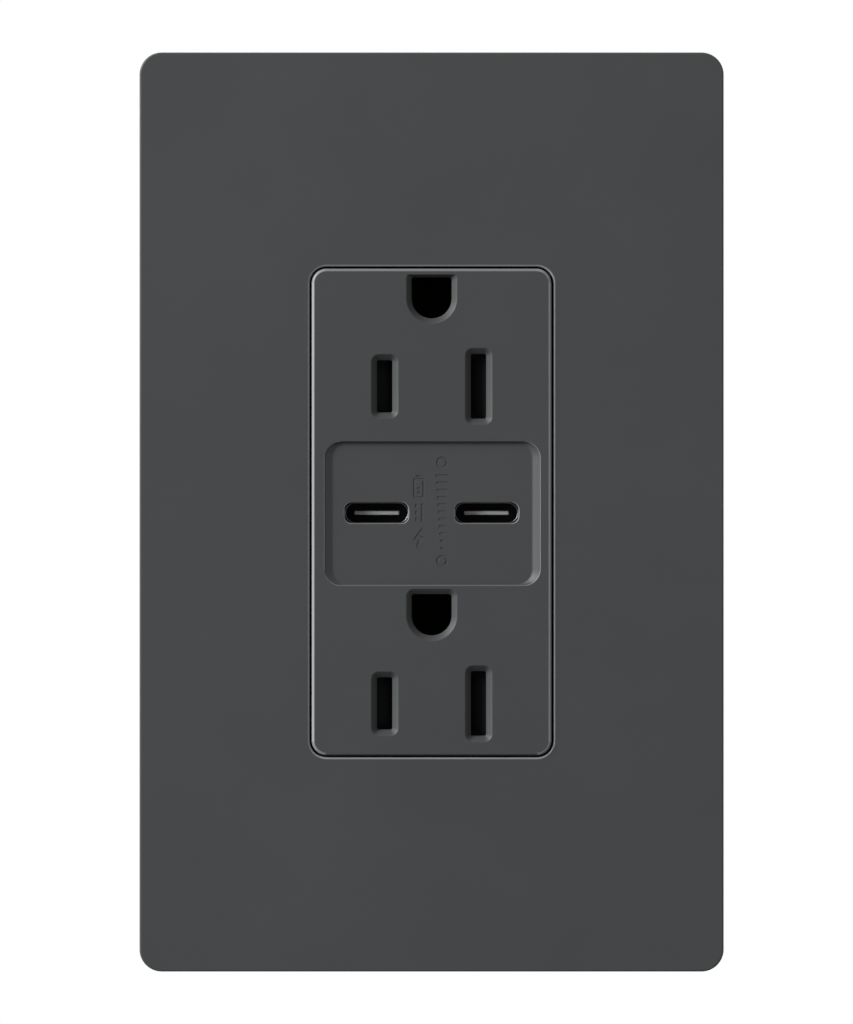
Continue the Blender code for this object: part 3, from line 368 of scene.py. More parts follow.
class Skin:
    # a closed surface made of flat sheets with holes and of walls that run along Y
    def __init__(self):
        self.form = bmesh.new()
        self.rubbed = self.form.verts.layers.float.new("rubbed")

    def ring(self, points, depth, rubbed, bySide):
        # bySide scales the painted edge highlight, and the gloss that goes with it, on the left, right,
        # top and bottom runs of the ring
        verts = [self.form.verts.new((x, depth, z)) for x, z in points]
        left, right = min(x for x, z in points), max(x for x, z in points)
        bottom, top = min(z for x, z in points), max(z for x, z in points)
        near = skinSizes["touch"]
        for vert in verts if rubbed else []:
            x, z = vert.co.x, vert.co.z
            touches = [x - left < near, right - x < near, top - z < near, z - bottom < near]
            shares = [share for share, touch in zip(bySide, touches) if touch]
            vert[self.rubbed] = rubbed * (shares[0] if shares else sum(bySide) / 4)
        return verts

    def wall(self, sections, bySide=(1.0, 1.0, 1.0, 1.0)):
        rings = [self.ring(*(section + (0.0,))[:3], bySide) for section in sections]
        for ring, following in zip(rings, rings[1:]):
            for index, vert in enumerate(ring):
                after = (index + 1) % len(ring)
                self.form.faces.new((vert, ring[after], following[after], following[index]))
        return rings[0], rings[-1]

    def sheet(self, *rings):
        edges = []
        for ring in rings:
            for index, vert in enumerate(ring):
                pair = (vert, ring[(index + 1) % len(ring)])
                edges.append(self.form.edges.get(pair) or self.form.edges.new(pair))
        bmesh.ops.triangle_fill(self.form, edges=edges, use_beauty=True)

    def box(self, low, high, bevel):
        made = bmesh.ops.create_cube(self.form, size=1.0)["verts"]
        size = [high[axis] - low[axis] for axis in range(3)]
        middle = [(high[axis] + low[axis]) / 2 for axis in range(3)]
        bmesh.ops.scale(self.form, vec=size, verts=made)
        bmesh.ops.translate(self.form, vec=middle, verts=made)
        edges = {edge for vert in made for edge in vert.link_edges}
        bmesh.ops.bevel(self.form, geom=list(edges), offset=bevel, segments=3, profile=0.5,
                        affect="EDGES")

    def done(self, name, finish, sharp=38):
        bmesh.ops.remove_doubles(self.form, verts=self.form.verts, dist=skinSizes["merge"])
        bmesh.ops.recalc_face_normals(self.form, faces=self.form.faces)
        return makePiece(name, meshFrom(self.form, name), finish, sharp)


def makePiece(name, mesh, finish, sharp=38):
    mesh.materials.clear()
    mesh.materials.append(finishes[finish])
    mesh.shade_smooth()
    mesh.set_sharp_from_angle(angle=math.radians(sharp))
    return addObject(name, mesh)


def install(piece, *standsFor):
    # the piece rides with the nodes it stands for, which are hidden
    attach(piece, bodyOf[standsFor[0]])
    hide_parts(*standsFor)
    return piece


def evaluatedMesh(piece):
    bpy.context.view_layer.update()
    graph = bpy.context.evaluated_depsgraph_get()
    return bpy.data.meshes.new_from_object(piece.evaluated_get(graph))


# cover plate

plateSizes = {"corner": 3.0 * mm, "wall": 2.0 * mm, "edge": 0.25 * mm, "rim": 0.2 * mm,
              "openingEdge": 0.3 * mm, "openingWidth": 32.9 * mm, "openingHeight": 66.3 * mm,
              "openingCorner": 2.25 * mm, "postWidth": 2.0 * mm, "postHeight": 7.0 * mm,
              "postX": 26.0 * mm, "postZ": 44.0 * mm, "postEnd": 1.9 * mm, "postEdge": 0.3 * mm,
              "postRoot": 0.3 * mm, "mouthSheen": 0.8}


def makeCoverPlate():
    size = plateSizes
    low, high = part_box("wall_plate")
    width, height, front, back = high.x - low.x, high.z - low.z, low.y, high.y
    inner = front + size["wall"]
    outerAt = outlineMaker(width, height, size["corner"], steps=14)
    innerAt = outlineMaker(width - 2 * size["wall"], height - 2 * size["wall"],
                           size["corner"] - size["wall"], steps=8)
    openingAt = outlineMaker(size["openingWidth"], size["openingHeight"], size["openingCorner"],
                             steps=14)
    skin = Skin()
    frontRing, backRing = skin.wall(
        roundedEdge(outerAt, front, size["edge"], -1, 1)
        + roundedEdge(outerAt, back, size["rim"], -1, -1)[::-1])
    rimRing, floorRing = skin.wall(
        roundedEdge(innerAt, back, size["rim"], 1, -1) + [(innerAt(), inner)])
    # the opening's rounded edge gets a painted highlight
    mouthRing, innerMouth = skin.wall(
        roundedEdge(openingAt, front, size["openingEdge"], 1, 1, 6, size["mouthSheen"])
        + roundedEdge(openingAt, inner, size["rim"], 1, -1)[::-1])
    skin.sheet(frontRing, mouthRing)
    skin.sheet(backRing, rimRing)
    skin.sheet(floorRing, innerMouth)
    for x in (-size["postX"], size["postX"]):
        for z in (-size["postZ"], size["postZ"]):
            half = (size["postWidth"] / 2, size["postHeight"] / 2)
            skin.box((x - half[0], inner - size["postRoot"], z - half[1]),
                     (x + half[0], -size["postEnd"], z + half[1]), size["postEdge"])
    install(skin.done("cover_plate_shell", "graphite"), "wall_plate")


makeCoverPlate()
print("cover plate made")


# face with its plug openings and charging panel

faceSizes = {
    "width": 32.4 * mm, "height": 65.8 * mm, "corner": 2.0 * mm, "edge": 0.4 * mm, "wall": 2.2 * mm,
    "skirt": 1.6 * mm, "skirtEnds": 1.05 * mm, "flange": 1.6 * mm, "flangeCorner": 3.0 * mm,
    "flangeEdge": 0.25 * mm, "bladeX": 6.35 * mm, "upperBlades": 17.0 * mm,
    "lowerBlades": -25.9 * mm, "groundRise": 11.9 * mm, "slotWidth": 2.05 * mm,
    "hotHeight": 7.06 * mm, "neutralHeight": 8.74 * mm, "slotCorner": 0.25 * mm,
    "slotLead": 0.8 * mm, "groundWidth": 5.41 * mm, "groundHeight": 5.59 * mm,
    "groundFoot": 0.35 * mm, "groundLead": 0.72 * mm, "topLead": 0.32 * mm, "lip": 0.16 * mm,
    "throat": 0.14 * mm, "lipFlat": 0.02 * mm,
    "panelWidth": 29.1 * mm, "panelHeight": 19.4 * mm, "panelPlace": (0.1 * mm, -0.2 * mm),
    "panelDepth": 0.52 * mm, "panelCorner": 2.2 * mm, "panelSlope": 0.98 * mm,
    "panelLip": 0.1 * mm, "panelFillet": 0.14 * mm,
    "portX": 7.45 * mm, "portDrop": 0.12 * mm, "portWidth": 8.62 * mm, "portHeight": 2.78 * mm,
    "portCorner": 0.95 * mm, "portEdge": 0.13 * mm,
    "markDepth": 0.065 * mm, "markSlope": 0.03 * mm, "rimSheen": 0.6,
    # painted highlight, with gloss, on the left, right, top and bottom edges, strongest where the light
    # falls; the last value above sets its strength on the panel and port lips
    "sheenBySide": (1.0, 1.15, 0.55, 0.1), "panelSheen": (2.3, 0.9, 0.0, 0.6),
    "portSheen": (1.7, 1.5, 0.1, 0.6),
}


def leadInSections(outlineAt, front, lead, back, steps=4):
    # flat face, rounded lip, 45 degree slope, rounded throat and the straight wall behind it
    lip, throat = faceSizes["lip"], faceSizes["throat"]
    start = lead + lip * math.tan(math.pi / 8)
    sections = [(outlineAt(start + faceSizes["lipFlat"]), front)]
    for step in range(steps + 1):
        turn = math.pi / 4 * step / steps
        sections.append((outlineAt(start - lip * math.sin(turn)),
                         front + lip * (1 - math.cos(turn))))
    for step in range(steps + 1):
        turn = math.pi / 4 * (1 - step / steps)
        sections.append((outlineAt(throat * (1 - math.cos(turn))),
                         front + lead + throat * (math.tan(math.pi / 8) - math.sin(turn))))
    return sections + [(outlineAt(), back)]


def cutShort(outlineAt, highest):
    # the same outline, flattened where it would rise above a height
    def shortAt(offset=0.0, wider=0.0):
        return [(x, min(z, highest)) for x, z in outlineAt(offset, wider)]
    return shortAt


def plugOutlines():
    # each opening's outline and how far its lead-in reaches
    size = faceSizes
    openings = []
    for z in (size["upperBlades"], size["lowerBlades"]):
        for side, height in ((-1, size["hotHeight"]), (1, size["neutralHeight"])):
            outlineAt = outlineMaker(size["slotWidth"], height, size["slotCorner"],
                                     (side * size["bladeX"], z), 6)
            openings.append((outlineAt, size["slotLead"]))
        arch, foot = size["groundWidth"] / 2 - skinSizes["leastRadius"], size["groundFoot"]
        middle = z + size["groundRise"] + (size["groundHeight"] - size["groundWidth"]) / 2
        groundAt = outlineMaker(size["groundWidth"], size["groundHeight"],
                                (arch, arch, foot, foot), (0, middle), 14)
        highest = middle + size["groundHeight"] / 2 + size["topLead"]
        openings.append((cutShort(groundAt, highest) if z > 0 else groundAt, size["groundLead"]))
    return openings


markSizes = {
    # in millimetres; a bar is its place across and up, width, height and corner radius
    "batteryCase": (-1.72, 3.2, 1.6, 2.8, 0.3), "batteryInside": (-1.72, 3.2, 0.92, 2.12, 0.14),
    "batteryCharge": ((-1.72, 2.62, 0.46, 0.3), (-1.72, 3.2, 0.46, 0.3)),
    "plainBars": ((-1.72, 4.84, 0.76, 0.28), (-1.3, -0.1, 0.32, 2.5), (-2.07, 0.82, 0.32, 0.56),
                  (-2.07, -0.1, 0.32, 0.56), (-2.07, -1.02, 0.32, 0.56)),
    "boltPlace": (-1.72, -3.5), "boltWaist": 0.6,
    "boltCorners": ((0.42, 1.45), (-0.8, -0.25), (-0.12, -0.25), (-0.42, -1.45), (0.8, 0.25),
                    (0.12, 0.25)),
    "scaleX": 1.42, "scaleFoot": -4.9, "scalePitch": 0.98, "scaleCount": 11, "scaleBar": 0.38,
    "scaleNarrow": 0.5, "scaleWide": 1.8,
    "ringHeights": (-6.6, 6.7), "ringOuter": (1.6, 1.6, 0.79), "ringInner": (0.9, 0.9, 0.44),
}


def bar(x, z, width, height, corner=None):
    # outline of a small rounded bar as a function of how far it is let out
    radius = min(width, height) * 0.45 if corner is None else corner
    return outlineMaker(width * mm, height * mm, radius * mm, (x * mm, z * mm), 4)


def boltAt(x, z):
    def outlineAt(offset=0.0):
        grow = 1 + offset / (markSizes["boltWaist"] * mm)
        return [((x + grow * dx) * mm, (z + grow * dz) * mm) for dx, dz in markSizes["boltCorners"]]
    return outlineAt


def markOutlines():
    # plain signs in place of lettering, as (outer outline, island outline or nothing, bars in it)
    size = markSizes
    marks = [(bar(*size["batteryCase"]), bar(*size["batteryInside"]),
              [bar(*charge) for charge in size["batteryCharge"]])]
    marks += [(bar(*plain), None, []) for plain in size["plainBars"]]
    marks.append((boltAt(*size["boltPlace"]), None, []))
    for step in range(size["scaleCount"]):  # a level scale, its bars growing upwards
        share = step / (size["scaleCount"] - 1)
        width = size["scaleNarrow"] + (size["scaleWide"] - size["scaleNarrow"]) * share
        height = size["scaleFoot"] + size["scalePitch"] * step
        marks.append((bar(size["scaleX"], height, width, size["scaleBar"]), None, []))
    for height in size["ringHeights"]:
        marks.append((bar(size["scaleX"], height, *size["ringOuter"]),
                      bar(size["scaleX"], height, *size["ringInner"]), []))
    return marks


def makeFace():
    size = faceSizes
    low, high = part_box("face_cover")
    front, flangeBack = low.y, high.y
    flangeFront, inner = flangeBack - size["flange"], low.y + size["wall"]
    floor = front + size["panelDepth"]
    faceAt = outlineMaker(size["width"], size["height"], size["corner"], steps=14)
    flangeAt = outlineMaker(high.x - low.x, high.z - low.z, size["flangeCorner"])
    cavityAt = outlineMaker(size["width"] - 2 * size["skirt"], size["height"] - 2 * size["skirtEnds"],
                            size["corner"] / 2, steps=6)
    skin = Skin()
    # painted highlight on the face's rounded rim
    frontRing, footRing = skin.wall(roundedEdge(faceAt, front, size["edge"], -1, 1, 8, 1.0)
                                    + [(faceAt(), flangeFront)], size["sheenBySide"])
    flangeRing, backRing = skin.wall(
        roundedEdge(flangeAt, flangeFront, size["flangeEdge"], -1, 1)
        + roundedEdge(flangeAt, flangeBack, size["flangeEdge"], -1, -1)[::-1])
    cavityRing, ceilingRing = skin.wall(
        roundedEdge(cavityAt, flangeBack, size["flangeEdge"], 1, -1) + [(cavityAt(), inner)])
    skin.sheet(footRing, flangeRing)
    skin.sheet(backRing, cavityRing)
    frontHoles, innerHoles = [], []
    for outlineAt, lead in plugOutlines():
        first, last = skin.wall(leadInSections(outlineAt, front, lead, inner))
        frontHoles.append(first)
        innerHoles.append(last)
    panelAt = outlineMaker(size["panelWidth"], size["panelHeight"], size["panelCorner"],
                           size["panelPlace"], 10)
    lip, fillet, slope = size["panelLip"], size["panelFillet"], size["panelSlope"]
    steps = 4
    # painted highlight on the panel's lip
    sections = roundedEdge(panelAt, front, lip, 1, 1, steps, size["rimSheen"])
    for step in range(steps + 1):
        turn = math.pi / 2 * step / steps
        depth = floor - fillet * (1 - math.sin(turn))
        wider = -slope * (depth - front) / size["panelDepth"]
        sections.append((panelAt(-fillet * (1 - math.cos(turn)), wider), depth))
    sections.append((panelAt(-fillet * 1.1, -slope), floor))
    panelRing, floorRing = skin.wall(sections, size["panelSheen"])

    def sunk(outlineAt, side=-1):
        # rings at the rim and foot of a shallow mark with sloping walls
        return skin.wall([(outlineAt(), floor),
                          (outlineAt(side * size["markSlope"]), floor + size["markDepth"])])

    portRings = []
    for x in (-size["portX"], size["portX"]):
        portAt = outlineMaker(size["portWidth"], size["portHeight"], size["portCorner"],
                              (x, -size["portDrop"]), 10)
        # painted highlight on each port's lip
        first, last = skin.wall(roundedEdge(portAt, floor, size["portEdge"], 1, 1, 5, size["rimSheen"])
                                + [(portAt(), inner)], size["portSheen"])
        portRings.append(first)
        innerHoles.append(last)
    for rimAt, islandAt, bars in markOutlines():
        first, last = sunk(rimAt)
        portRings.append(first)
        if islandAt:  # a ring-shaped groove round an island, with bars sunk in the island
            island, foot = sunk(islandAt, 1)
            skin.sheet(last, foot)
            rims = []
            for barAt in bars:
                rim, bottom = sunk(barAt)
                rims.append(rim)
                skin.sheet(bottom)
            skin.sheet(island, *rims)
        else:
            skin.sheet(last)
    skin.sheet(frontRing, panelRing, *frontHoles)
    skin.sheet(floorRing, *portRings)
    skin.sheet(ceilingRing, *innerHoles)
    install(skin.done("outlet_face", "graphite"), "face_cover")


makeFace()
print("face made")


# charging ports

portSizes = {"wall": 0.3 * mm, "rim": 0.1 * mm, "floor": 0.6 * mm, "nose": 0.18 * mm,
             "tongueCorner": 0.2, "backGap": 0.03 * mm, "backDepth": 3.6 * mm, "backEdge": 0.1 * mm,
             "backEnd": 0.05 * mm}
padSizes = {"count": 12, "width": 0.25, "pitch": 0.5, "rise": 0.02, "length": 2.6, "start": 0.5}


def boxOutline(node, share=0.5):
    # the node's box as seen from the front, lowered to its opening; share is corner over height
    low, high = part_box(node)
    width, height = high.x - low.x, high.z - low.z
    centre = ((low.x + high.x) / 2, (low.z + high.z) / 2 - faceSizes["portDrop"])
    return low, high, width, height, centre, min(share * height, height / 2 - skinSizes["leastRadius"])


def makePort(side):
    size = portSizes
    low, high, width, height, centre, radius = boxOutline(f"port_shell_{side}")
    outerAt = outlineMaker(width, height, radius, centre, 12)
    boreAt = outlineMaker(width - 2 * size["wall"], height - 2 * size["wall"],
                          radius - size["wall"], centre, 12)
    skin = Skin()
    rimOuter, backRing = skin.wall(roundedEdge(outerAt, low.y, size["rim"], -1, 1)
                                   + [(outerAt(), high.y)])
    rimInner, floorRing = skin.wall(roundedEdge(boreAt, low.y, size["rim"], 1, 1)
                                    + [(boreAt(), high.y - size["floor"])])
    skin.sheet(rimOuter, rimInner)
    skin.sheet(backRing)
    skin.sheet(floorRing)
    install(skin.done(f"port_{side}_shell", "port_steel"), f"port_shell_{side}")
    low, high, width, height, centre, radius = boxOutline(f"port_tongue_{side}",
                                                          size["tongueCorner"])
    tongue = makePlug(f"port_{side}_tongue", "tongue_plastic",
                      outlineMaker(width, height, radius, centre, 5), low.y, high.y, size["nose"])
    install(tongue, f"port_tongue_{side}")
    makePortBack(side)


def makePlug(name, finish, outlineAt, front, back, edge):
    # a solid of one outline with its front edge rounded
    skin = Skin()
    nose, tail = skin.wall(roundedEdge(outlineAt, front, edge, -1, 1) + [(outlineAt(), back)])
    skin.sheet(nose)
    skin.sheet(tail)
    return skin.done(name, finish)


def makePortBack(side):
    # black insulator that the tongue stands on, inside the shell
    size = portSizes
    low, high, width, height, centre, radius = boxOutline(f"port_shell_{side}")
    shrink = size["wall"] + size["backGap"]
    backAt = outlineMaker(width - 2 * shrink, height - 2 * shrink, radius - shrink, centre, 8)
    back = makePlug(f"port_{side}_insulator", "black_plastic", backAt, low.y + size["backDepth"],
                    high.y - size["floor"] - size["backEnd"], size["backEdge"])
    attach(back, bodyOf[f"port_shell_{side}"])


for portSide in ("left", "right"):
    makePort(portSide)
print("ports made")


# Geometry Nodes: rows of bars, screw threads and wire coils

def startTree(name, inputs):
    tree = bpy.data.node_groups.new(name, "GeometryNodeTree")
    tree.interface.new_socket("Geometry", in_out="INPUT", socket_type="NodeSocketGeometry")
    for label, kind in inputs:
        tree.interface.new_socket(label, in_out="INPUT", socket_type=kind)
    tree.interface.new_socket("Geometry", in_out="OUTPUT", socket_type="NodeSocketGeometry")
    graph = Graph(tree)
    return tree, graph, graph.add("NodeGroupInput")


def endTree(graph, given, made):
    joined = graph.add("GeometryNodeJoinGeometry", {}, {0: [given.other("Geometry"), made]})
    solid = graph.add("GeometryNodeRealizeInstances", {}, {0: joined})
    painted = graph.add("GeometryNodeSetMaterial", {}, {0: solid, "Material": given.other("Material")})
    graph.add("NodeGroupOutput", {}, {0: painted})


def buildRowTree():
    # Count boxes of one size, each a Step on from the last
    tree, graph, given = startTree("barRow", (
        ("Count", "NodeSocketInt"), ("Start", "NodeSocketVector"), ("Step", "NodeSocketVector"),
        ("Size", "NodeSocketVector"), ("Material", "NodeSocketMaterial")))
    line = graph.add("GeometryNodeMeshLine", {"mode": "OFFSET"}, {
        "Count": given.other("Count"), "Start Location": given.other("Start"),
        "Offset": given.other("Step")})
    brick = graph.add("GeometryNodeMeshCube", {}, {"Size": given.other("Size")})
    row = graph.add("GeometryNodeInstanceOnPoints", {}, {"Points": line, "Instance": brick})
    endTree(graph, given, row)
    return tree


def buildThreadTree():
    # a ridge wound downwards round a core: a four-sided section swept along a spiral, running
    # out over half a turn at each end
    tree, graph, given = startTree("threadRidge", (
        ("Core Radius", "NodeSocketFloat"), ("Ridge Height", "NodeSocketFloat"),
        ("Pitch", "NodeSocketFloat"), ("Turns", "NodeSocketFloat"), ("Top", "NodeSocketFloat"),
        ("Material", "NodeSocketMaterial")))
    core, ridge = given.other("Core Radius"), given.other("Ridge Height")
    drop = given.other("Pitch") * given.other("Turns")
    spiral = graph.add("GeometryNodeCurveSpiral", {}, {
        "Resolution": 20, "Rotations": given.other("Turns"), "Start Radius": core,
        "End Radius": core, "Height": drop})
    upright = graph.add("GeometryNodeSetCurveNormal", {"mode": "Z_UP"}, {0: spiral})
    section = graph.add("GeometryNodeCurvePrimitiveQuadrilateral", {},
                        {"Width": ridge * 1.41, "Height": ridge * 1.41})
    slanted = graph.add("GeometryNodeTransform", {}, {0: section, "Rotation": (0, 0, math.pi / 4)})
    along = graph.add("GeometryNodeSplineParameter")
    toEnd = graph.add("ShaderNodeMath", {"operation": "MINIMUM"}, {0: along, 1: 1 - along})
    runOut = graph.add("ShaderNodeMath", {"operation": "MINIMUM"}, {
        0: toEnd * given.other("Turns") * 2.0 + 0.05, 1: 1.0})
    tube = graph.add("GeometryNodeCurveToMesh", {}, {
        "Curve": upright, "Profile Curve": slanted, "Scale": runOut, "Fill Caps": True})
    low = graph.add("ShaderNodeCombineXYZ", {}, {2: given.other("Top") - drop})
    placed = graph.add("GeometryNodeTransform", {}, {0: tube, "Translation": low})
    endTree(graph, given, placed)
    return tree


def buildCoilTree():
    # an open coil of round wire standing on the origin
    tree, graph, given = startTree("wireCoil", (
        ("Radius", "NodeSocketFloat"), ("Wire", "NodeSocketFloat"), ("Length", "NodeSocketFloat"),
        ("Turns", "NodeSocketFloat"), ("Material", "NodeSocketMaterial")))
    radius = given.other("Radius")
    spiral = graph.add("GeometryNodeCurveSpiral", {}, {
        "Resolution": 24, "Rotations": given.other("Turns"), "Start Radius": radius,
        "End Radius": radius, "Height": given.other("Length")})
    wire = graph.add("GeometryNodeCurvePrimitiveCircle", {}, {
        "Resolution": 10, "Radius": given.other("Wire")})
    tube = graph.add("GeometryNodeCurveToMesh", {}, {
        "Curve": spiral, "Profile Curve": wire, "Fill Caps": True})
    endTree(graph, given, tube)
    return tree


rowTree = buildRowTree()
threadTree = buildThreadTree()
coilTree = buildCoilTree()


def addNodes(piece, tree, values):
    modifier = piece.modifiers.new(tree.name, "NODES")
    modifier.node_group = tree
    for item in tree.interface.items_tree:
        if item.in_out == "INPUT" and item.name in values:
            modifier[item.identifier] = values[item.name]


def roundEdges(piece, width, segments=2, angle=38):
    bevel = piece.modifiers.new("edges", "BEVEL")
    bevel.width = width * mm
    bevel.segments = segments
    bevel.limit_method = "ANGLE"
    bevel.angle_limit = math.radians(angle)
    bevel.miter_outer = "MITER_ARC"


def bakeMesh(piece):
    # the evaluated shape as a plain mesh; the piece it came from goes
    mesh = evaluatedMesh(piece)
    bpy.data.objects.remove(piece)
    return mesh


def barMesh(name, finish, rows, edge=0.0):
    # rows are (count, start, step, size) in millimetres
    piece = addObject(name, bpy.data.meshes.new(name))
    for count, start, step, size in rows:
        addNodes(piece, rowTree, {"Count": count, "Start": [value * mm for value in start],
                                  "Step": [value * mm for value in step],
                                  "Size": [value * mm for value in size],
                                  "Material": finishes[finish]})
    if edge:
        roundEdges(piece, edge)
    return bakeMesh(piece)


def makeBars(name, finish, rows, body, slotName, edge=0.0):
    piece = makePiece(name, barMesh(name, finish, rows, edge), finish)
    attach(piece, body)


def addCut(piece, rows):
    # cuts rows of boxes out of the piece; the cutter goes once the piece is baked
    cutter = addObject("cutter", barMesh("cutter", "graphite", rows))
    cut = piece.modifiers.new("cut", "BOOLEAN")
    cut.operation, cut.solver, cut.object = "DIFFERENCE", "EXACT", cutter
    return cutter


barSets = {
    # piece: the node it stands on, finish, edge radius and rows as (count, first centre, step, size)
    "sub_plate_ribs": ("sub_plate", "graphite", 0.15, [
        (2, (-32.5, -1.05, 0), (65, 0, 0), (0.9, 1.3, 104)),
        (2, (0, -1.05, -56.2), (0, 0, 112.4), (62, 1.3, 0.9)),
        (2, (-23.2, -1.05, 0), (46.4, 0, 0), (0.9, 1.3, 74))]),
    "rear_housing_ribs": ("rear_housing", "black_plastic", 0.2, [
        (5, (-15.6, 24, -16), (0, 0, 8), (0.8, 11, 1.1)),
        (5, (15.6, 24, -16), (0, 0, 8), (0.8, 11, 1.1))]),
}
for barName, (barNode, barFinish, barEdge, barRows) in barSets.items():
    makeBars(barName, slotOf[barNode], barRows, bodyOf[barNode], slotOf[barNode], barEdge)


def makePads(side):
    # the contact pads on both faces of a port's tongue, in millimetres
    size = padSizes
    low, high = [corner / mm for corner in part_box(f"port_tongue_{side}")]
    middle = (low + high) / 2
    first = middle.x - size["pitch"] * (size["count"] - 1) / 2
    rows = []
    for face in (low.z, high.z):
        start = (first, low.y + size["start"] + size["length"] / 2,
                 face - faceSizes["portDrop"] / mm)
        rows.append((size["count"], start, (size["pitch"], 0, 0),
                     (size["width"], size["length"], 2 * size["rise"])))
    makeBars(f"port_{side}_pads", "contact_gold", rows, bodyOf[f"port_tongue_{side}"], "brass")


for portSide in ("left", "right"):
    makePads(portSide)
print("ribs and contact pads made")


# screws

screwLooks = {
    # head height, shank radius, pitch of the thread, slot length and cross length over the head's width
    "mounting_screw": {"head": 2.2, "shank": 1.75, "pitch": 0.79, "slot": 1.1, "cross": 0.55},
    "plate_screw": {"head": 1.2, "shank": 1.65, "pitch": 0.79, "slot": 1.1, "cross": 0.0},
    "body_screw": {"head": 1.6, "shank": 1.3, "pitch": 0.9, "slot": 0.62, "cross": 0.62},
    "side_screw": {"head": 2.2, "shank": 2.05, "pitch": 0.79, "slot": 1.1, "cross": 0.55},
}
screwShape = {
    # shares of the head's radius, height and width, of the shank's radius and of the pitch
    "flat": 0.45, "shoulder": 0.62, "crown": 0.55, "slotWidth": 0.26, "core": 0.8, "point": 0.72,
    "end": 0.6, "pointPitches": 1.2, "bareEnd": 1.6,
    "sag": 0.01 * mm, "rim": 0.1 * mm, "relief": 0.3 * mm, "cutEdge": 0.07, "cutAngle": 50,
}
screwPlaces = {
    # node: look, axis, side of the head, turn of its slot in degrees, thread-free neck in millimetres
    "mounting_screw_top": ("mounting_screw", 1, -1, 4, 1.5),
    "mounting_screw_bottom": ("mounting_screw", 1, -1, 92, 1.5),
    "plate_screw_top": ("plate_screw", 1, -1, 90, 0.6),
    "plate_screw_bottom": ("plate_screw", 1, -1, 88, 0.6),
    "body_screw_upper_left": ("body_screw", 1, 1, 20, 1.0),
    "body_screw_upper_right": ("body_screw", 1, 1, 65, 1.0),
    "body_screw_lower_left": ("body_screw", 1, 1, 38, 1.0),
    "body_screw_lower_right": ("body_screw", 1, 1, 5, 1.0),
    "upper_hot_screw": ("side_screw", 0, -1, 12, 0.5),
    "lower_hot_screw": ("side_screw", 0, -1, 75, 0.5),
    "upper_neutral_screw": ("side_screw", 0, 1, 28, 0.5),
    "lower_neutral_screw": ("side_screw", 0, 1, 110, 0.5),
    "ground_terminal_screw": ("side_screw", 2, -1, 35, 0.5),
}


def latheMesh(name, profile, steps=40):
    # profile runs from the top of the axis to its foot as (radius, height)
    form = bmesh.new()
    rings = []
    for radius, height in profile:
        if radius == 0:
            rings.append([form.verts.new((0, 0, height))])
        else:
            rings.append([form.verts.new((radius * math.cos(2 * math.pi * step / steps),
                                          radius * math.sin(2 * math.pi * step / steps), height))
                          for step in range(steps)])
    for ring, following in zip(rings, rings[1:]):
        for step in range(steps):
            after = (step + 1) % steps
            corners = [ring[step % len(ring)], following[step % len(following)],
                       following[after % len(following)], ring[after % len(ring)]]
            form.faces.new(list(dict.fromkeys(corners)))
    bmesh.ops.recalc_face_normals(form, faces=form.faces)
    return meshFrom(form, name)


def screwProfile(headRadius, headHeight, shankRadius, length, pitch, steps=6):
    shape = screwShape
    sag, rim, relief, shoulder = shape["sag"], shape["rim"], shape["relief"], shape["shoulder"]
    profile = [(0, 0), (headRadius * shape["flat"], -sag)]
    for step in range(steps + 1):
        turn = math.pi / 2 * step / steps
        profile.append((headRadius * (shoulder + (1 - shoulder) * math.sin(turn)),
                        -2 * sag - headHeight * shape["crown"] * (1 - math.cos(turn))))
    core = shankRadius * shape["core"]
    return profile + [
        (headRadius, -headHeight + rim), (headRadius - rim, -headHeight),
        (shankRadius, -headHeight), (shankRadius, -headHeight - relief),
        (core, -headHeight - 2 * relief), (core, -length + pitch * shape["pointPitches"]),
        (core * shape["point"], -length + 2 * sag), (core * shape["end"], -length), (0, -length)]


def makeScrew(node):
    look, axis, side, turn, neck = screwPlaces[node]
    size = {key: value * mm for key, value in screwLooks[look].items()}
    low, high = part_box(node)
    direction = Vector((0, 0, 0))
    direction[axis] = side
    top = (low + high) / 2
    top[axis] = high[axis] if side > 0 else low[axis]
    length = high[axis] - low[axis]
    other = (axis + 1) % 3
    headRadius = (high[other] - low[other]) / 2
    piece = addObject(node, latheMesh(node, screwProfile(
        headRadius, size["head"], size["shank"], length, size["pitch"])))
    cutters = []
    for reach, quarter in ((screwLooks[look]["slot"], 0), (screwLooks[look]["cross"], 1)):
        if reach:
            long, thin = 2 * headRadius * reach / mm, screwShape["slotWidth"] * headRadius / mm
            sides = (long, thin) if quarter == 0 else (thin, long)
            cutters.append(addCut(piece, [(1, (0, 0, 0), (0, 0, 0), (*sides, size["head"] / mm))]))
    roundEdges(piece, screwShape["cutEdge"], 2, screwShape["cutAngle"])
    turns = (length - size["head"] - neck * mm) / size["pitch"] - screwShape["bareEnd"]
    addNodes(piece, threadTree, {
        "Core Radius": size["shank"] * screwShape["core"],
        "Ridge Height": size["shank"] * (1 - screwShape["core"]),
        "Pitch": size["pitch"], "Turns": turns, "Top": -size["head"] - neck * mm,
        "Material": finishes[slotOf[node]]})
    mesh = bakeMesh(piece)
    for cutter in cutters:
        bpy.data.objects.remove(cutter)
    upright = Vector((0, 0, 1)).rotation_difference(direction).to_matrix().to_4x4()
    mesh.transform(Matrix.Translation(top) @ upright @ Matrix.Rotation(math.radians(turn), 4, "Z"))
    install(makePiece(f"{node}_threaded", mesh, slotOf[node], 40), node)


for screwNode in screwPlaces:
    makeScrew(screwNode)
print("screws made:", len(screwPlaces))


# shutter springs

springSizes = {"wire": 0.13 * mm, "gap": 0.02 * mm, "turns": 6.0, "pressed": 0.2}


